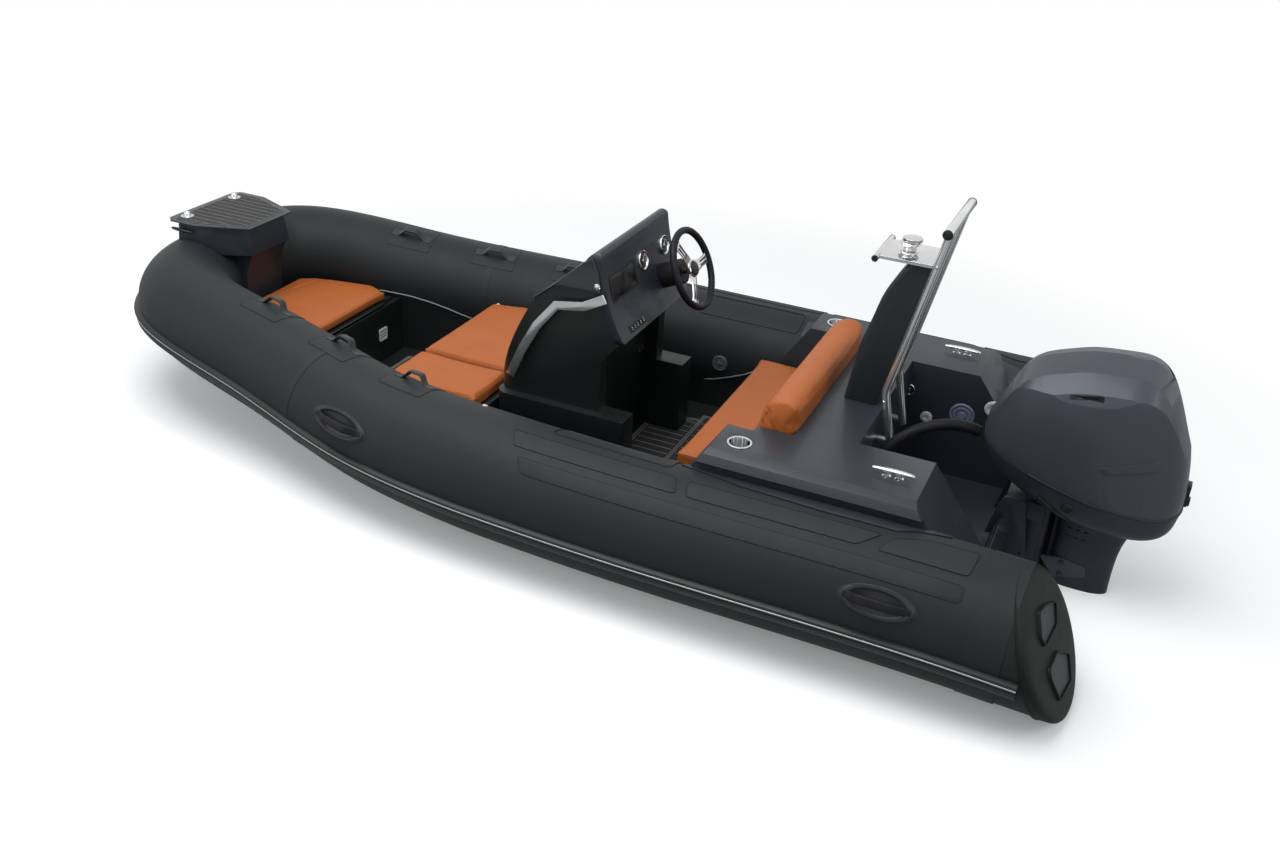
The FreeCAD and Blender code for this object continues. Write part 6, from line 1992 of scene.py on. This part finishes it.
def hose_point(t):
    """The quadratic B-spline that the curve follows, from 0 to 1."""
    spans = len(HOSE_ROUTE) - 2
    u = min(t * spans, spans - 1e-6)
    i = int(u)
    s = u - i
    a, b, c = (Vector(p) for p in HOSE_ROUTE[i:i + 3])
    first = a if i == 0 else (a + b) / 2
    last = c if i == spans - 1 else (b + c) / 2
    return first * (1 - s) ** 2 + b * 2 * s * (1 - s) + last * s * s


def hose_ribs(work):
    points = [hose_point(k / HOSE_SAMPLES) for k in range(HOSE_SAMPLES + 1)]
    runs = [0.0]
    for a, b in zip(points, points[1:]):
        runs.append(runs[-1] + (b - a).length)
    print("hose length", round(runs[-1], 4))
    count = int(runs[-1] / HOSE_RIB_PITCH)
    for k in range(1, count):
        place = looked_up(k * HOSE_RIB_PITCH, runs, [i / 400 for i in range(401)])
        along = (hose_point(min(place + 0.004, 1.0)) - hose_point(max(place - 0.004, 0.0))).normalized()
        half = HOSE_RIB_PITCH * 0.26
        profile = [(-half, HOSE_RADIUS * 0.98), (-half * 0.6, HOSE_RIB_RADIUS),
                   (half * 0.6, HOSE_RIB_RADIUS),
                   (half, HOSE_RADIUS * 0.98)]
        lathe(work, profile, hose_point(place), along, 24)


hose_line = hose_curve()
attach(hose_line, nodes["rigging_hose"]["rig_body"])
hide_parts("rigging_hose")
ribs = fitting("rigging_hose_ribs", hose_ribs, hose_rubber, nodes["rigging_hose"]["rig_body"],
               angle=60)

# %% [markdown]
# ### Small pieces on the tubes and the well
# Inside, a pale welt runs where each tube meets the liner, a glued strip lies beside the helm, and
# each tube has its inflation valve.  The well's starboard wall carries caps, a vent and an eye.

# %% Inner tube trim
WELT = ((1.960, 222), (1.800, 217), (1.656, 211), (1.560, 205), (1.477, 199), (1.400, 191), (1.327, 183),
        (1.240, 170))
BOW_WELT = ((3.190, 193), (3.120, 191), (3.040, 189), (2.940, 190), (2.860, 193), (2.790, 197),
            (2.600, 206))
WELT_RADIUS = 0.0035
INNER_STRIP_X, INNER_STRIP_ANGLE, INNER_STRIP_HALF = 1.374, 111.0, (0.240, 0.064)
VALVE_PLACE, VALVE_RADIUS = (1.450, 0.562, 0.281), 0.036


def inner_welts(work):
    for sign in (1, -1):
        for line in (WELT, BOW_WELT):
            rod(work, [on_tube(run_at(x), angle, 0.002, sign)[0] for x, angle in reversed(line)],
                WELT_RADIUS, 10)


def inner_strips(work):
    s, w = INNER_STRIP_HALF
    for sign in (1, -1):
        corners = box_corners(-s, s, -w, w)
        add_bead(work, run_at(INNER_STRIP_X), INNER_STRIP_ANGLE, corners, 0.02, PATCH_LIFT * 1.7, sign)


def inflation_valves(work):
    x, y, z = VALVE_PLACE
    r = VALVE_RADIUS
    place = plane_map((x, -y, z), TO_PORT, UP)
    add_turned(work, place, 0, 0, [(r, -0.012), (r, 0.004), (r * 0.92, 0.007), (r * 0.84, 0.005),
                                   (r * 0.30, 0.005),
                                   (r * 0.26, 0.009), (r * 0.12, 0.010), (0.0003, 0.010)], 40)
    for a in turn_steps(6):
        add_plate(work, place, box_outline(0.010, 0.005, r * 0.58 * math.cos(a), r * 0.58 * math.sin(a)),
                  0.0015,
                  0.004, 0.0075, 3)


fitting("inner_welts", inner_welts, flange_line, "boat", angle=60)
# The inner strips are drawn only as edge beads in the darker finish: glue line with painted shadow.
fitting("inner_strips", inner_strips, seam_tape, "boat")
fitting("inflation_valves", inflation_valves, grey_plastic, "boat", 0.0006, both=True)

# %% Caps and vents
WELL_CAP, WELL_CAP_RADIUS = (0.322, 0.389), 0.052
WELL_ELBOW, WELL_VENT, WELL_EYE = (0.205, 0.447), (0.464, 0.343), (0.545, 0.450)
LOCKER_VENT = (-0.208, 0.189)
TUBE_BUTTONS = ((2.619, 172.0, -1), (1.955, 112.0, 1))


def well_place(x, z):
    hit, _ = cast("aft_moulding", (x, 0.0, z), TO_STARBOARD)
    return plane_map(hit, TO_PORT, UP)


def well_cap(work):
    r = WELL_CAP_RADIUS
    add_turned(work, well_place(*WELL_CAP), 0, 0,
               [(r, -0.004), (r, 0.004), (r * 0.95, 0.008), (r * 0.86, 0.008), (r * 0.82, 0.005),
                (r * 0.70, 0.005),
                (r * 0.66, 0.009), (r * 0.52, 0.009), (r * 0.48, 0.006), (r * 0.34, 0.006),
                (r * 0.30, 0.011),
                (0.0003, 0.012)], 48)


def well_elbow(work):
    place = well_place(*WELL_ELBOW)
    add_turned(work, place, 0, 0, [(0.034, -0.004), (0.034, 0.004), (0.030, 0.007), (0.021, 0.007),
                                   (0.019, 0.004),
                                   (0.0003, 0.003)], 40)


def vents(work):
    place = well_place(*WELL_VENT)
    add_turned(work, place, 0, 0, [(0.025, -0.003), (0.025, 0.005), (0.019, 0.008), (0.009, 0.008),
                                   (0.008, 0.004),
                                   (0.0003, 0.004)], 36)
    hit, _ = cast("deck_liner", (2.6, *LOCKER_VENT), AHEAD)
    place = plane_map(hit, ASTERN, UP)
    add_frame(work, place, box_outline(0.062, 0.062), 0.008, 0.008, -0.003, 0.005)
    for k in range(4):
        add_plate(work, place, box_outline(0.052, 0.0065, 0.0, -0.019 + 0.0125 * k), 0.002, -0.003, 0.004,
                  2)


def lifting_eye(work):
    """A D-shaped eye: a straight bar and a bow, welded to the wall."""
    place = well_place(*WELL_EYE)
    corners = [(-0.010, -0.024), (0.008, -0.020), (0.016, 0.0), (0.008, 0.020), (-0.010, 0.024)]
    outline = rounded_outline(corners, 0.010)
    rings = []
    for i, p in enumerate(outline):
        ahead = (outline[(i + 1) % len(outline)] - outline[i - 1]).normalized()
        across = Vector((ahead.y, -ahead.x))
        rings.append([place(*(p + across * 0.0032 * math.cos(a)), 0.005 + 0.0032 * math.sin(a))
                      for a in turn_steps(10)])
    loft(work, rings + [rings[0]], caps=False)
    add_turned(work, place, -0.010, 0, [(0.008, -0.002), (0.008, 0.004), (0.004, 0.006), (0.0003, 0.006)],
               20)


def tube_buttons(work):
    for x, angle, sign in TUBE_BUTTONS:
        point, out = on_tube(run_at(x), angle, 0.0, sign)
        place = plane_map(point, out, AHEAD)
        add_turned(work, place, 0, 0, [(0.010, -0.003), (0.010, 0.003), (0.007, 0.005), (0.0003, 0.0055)],
                   24)


fitting("well_cap", well_cap, blue_plastic, "boat")
fitting("lifting_eye", lifting_eye, polished_steel, "boat", angle=60)
fitting("well_elbow", well_elbow, white_plastic, "boat")
fitting("vents", vents, white_plastic, "boat", 0.0008)
fitting("tube_buttons", tube_buttons, white_plastic, "boat")

# %% [markdown]
# ## Closing
# The plain colour transform keeps the tones as they are set.

# %% Close
scene.view_settings.view_transform = "Standard"
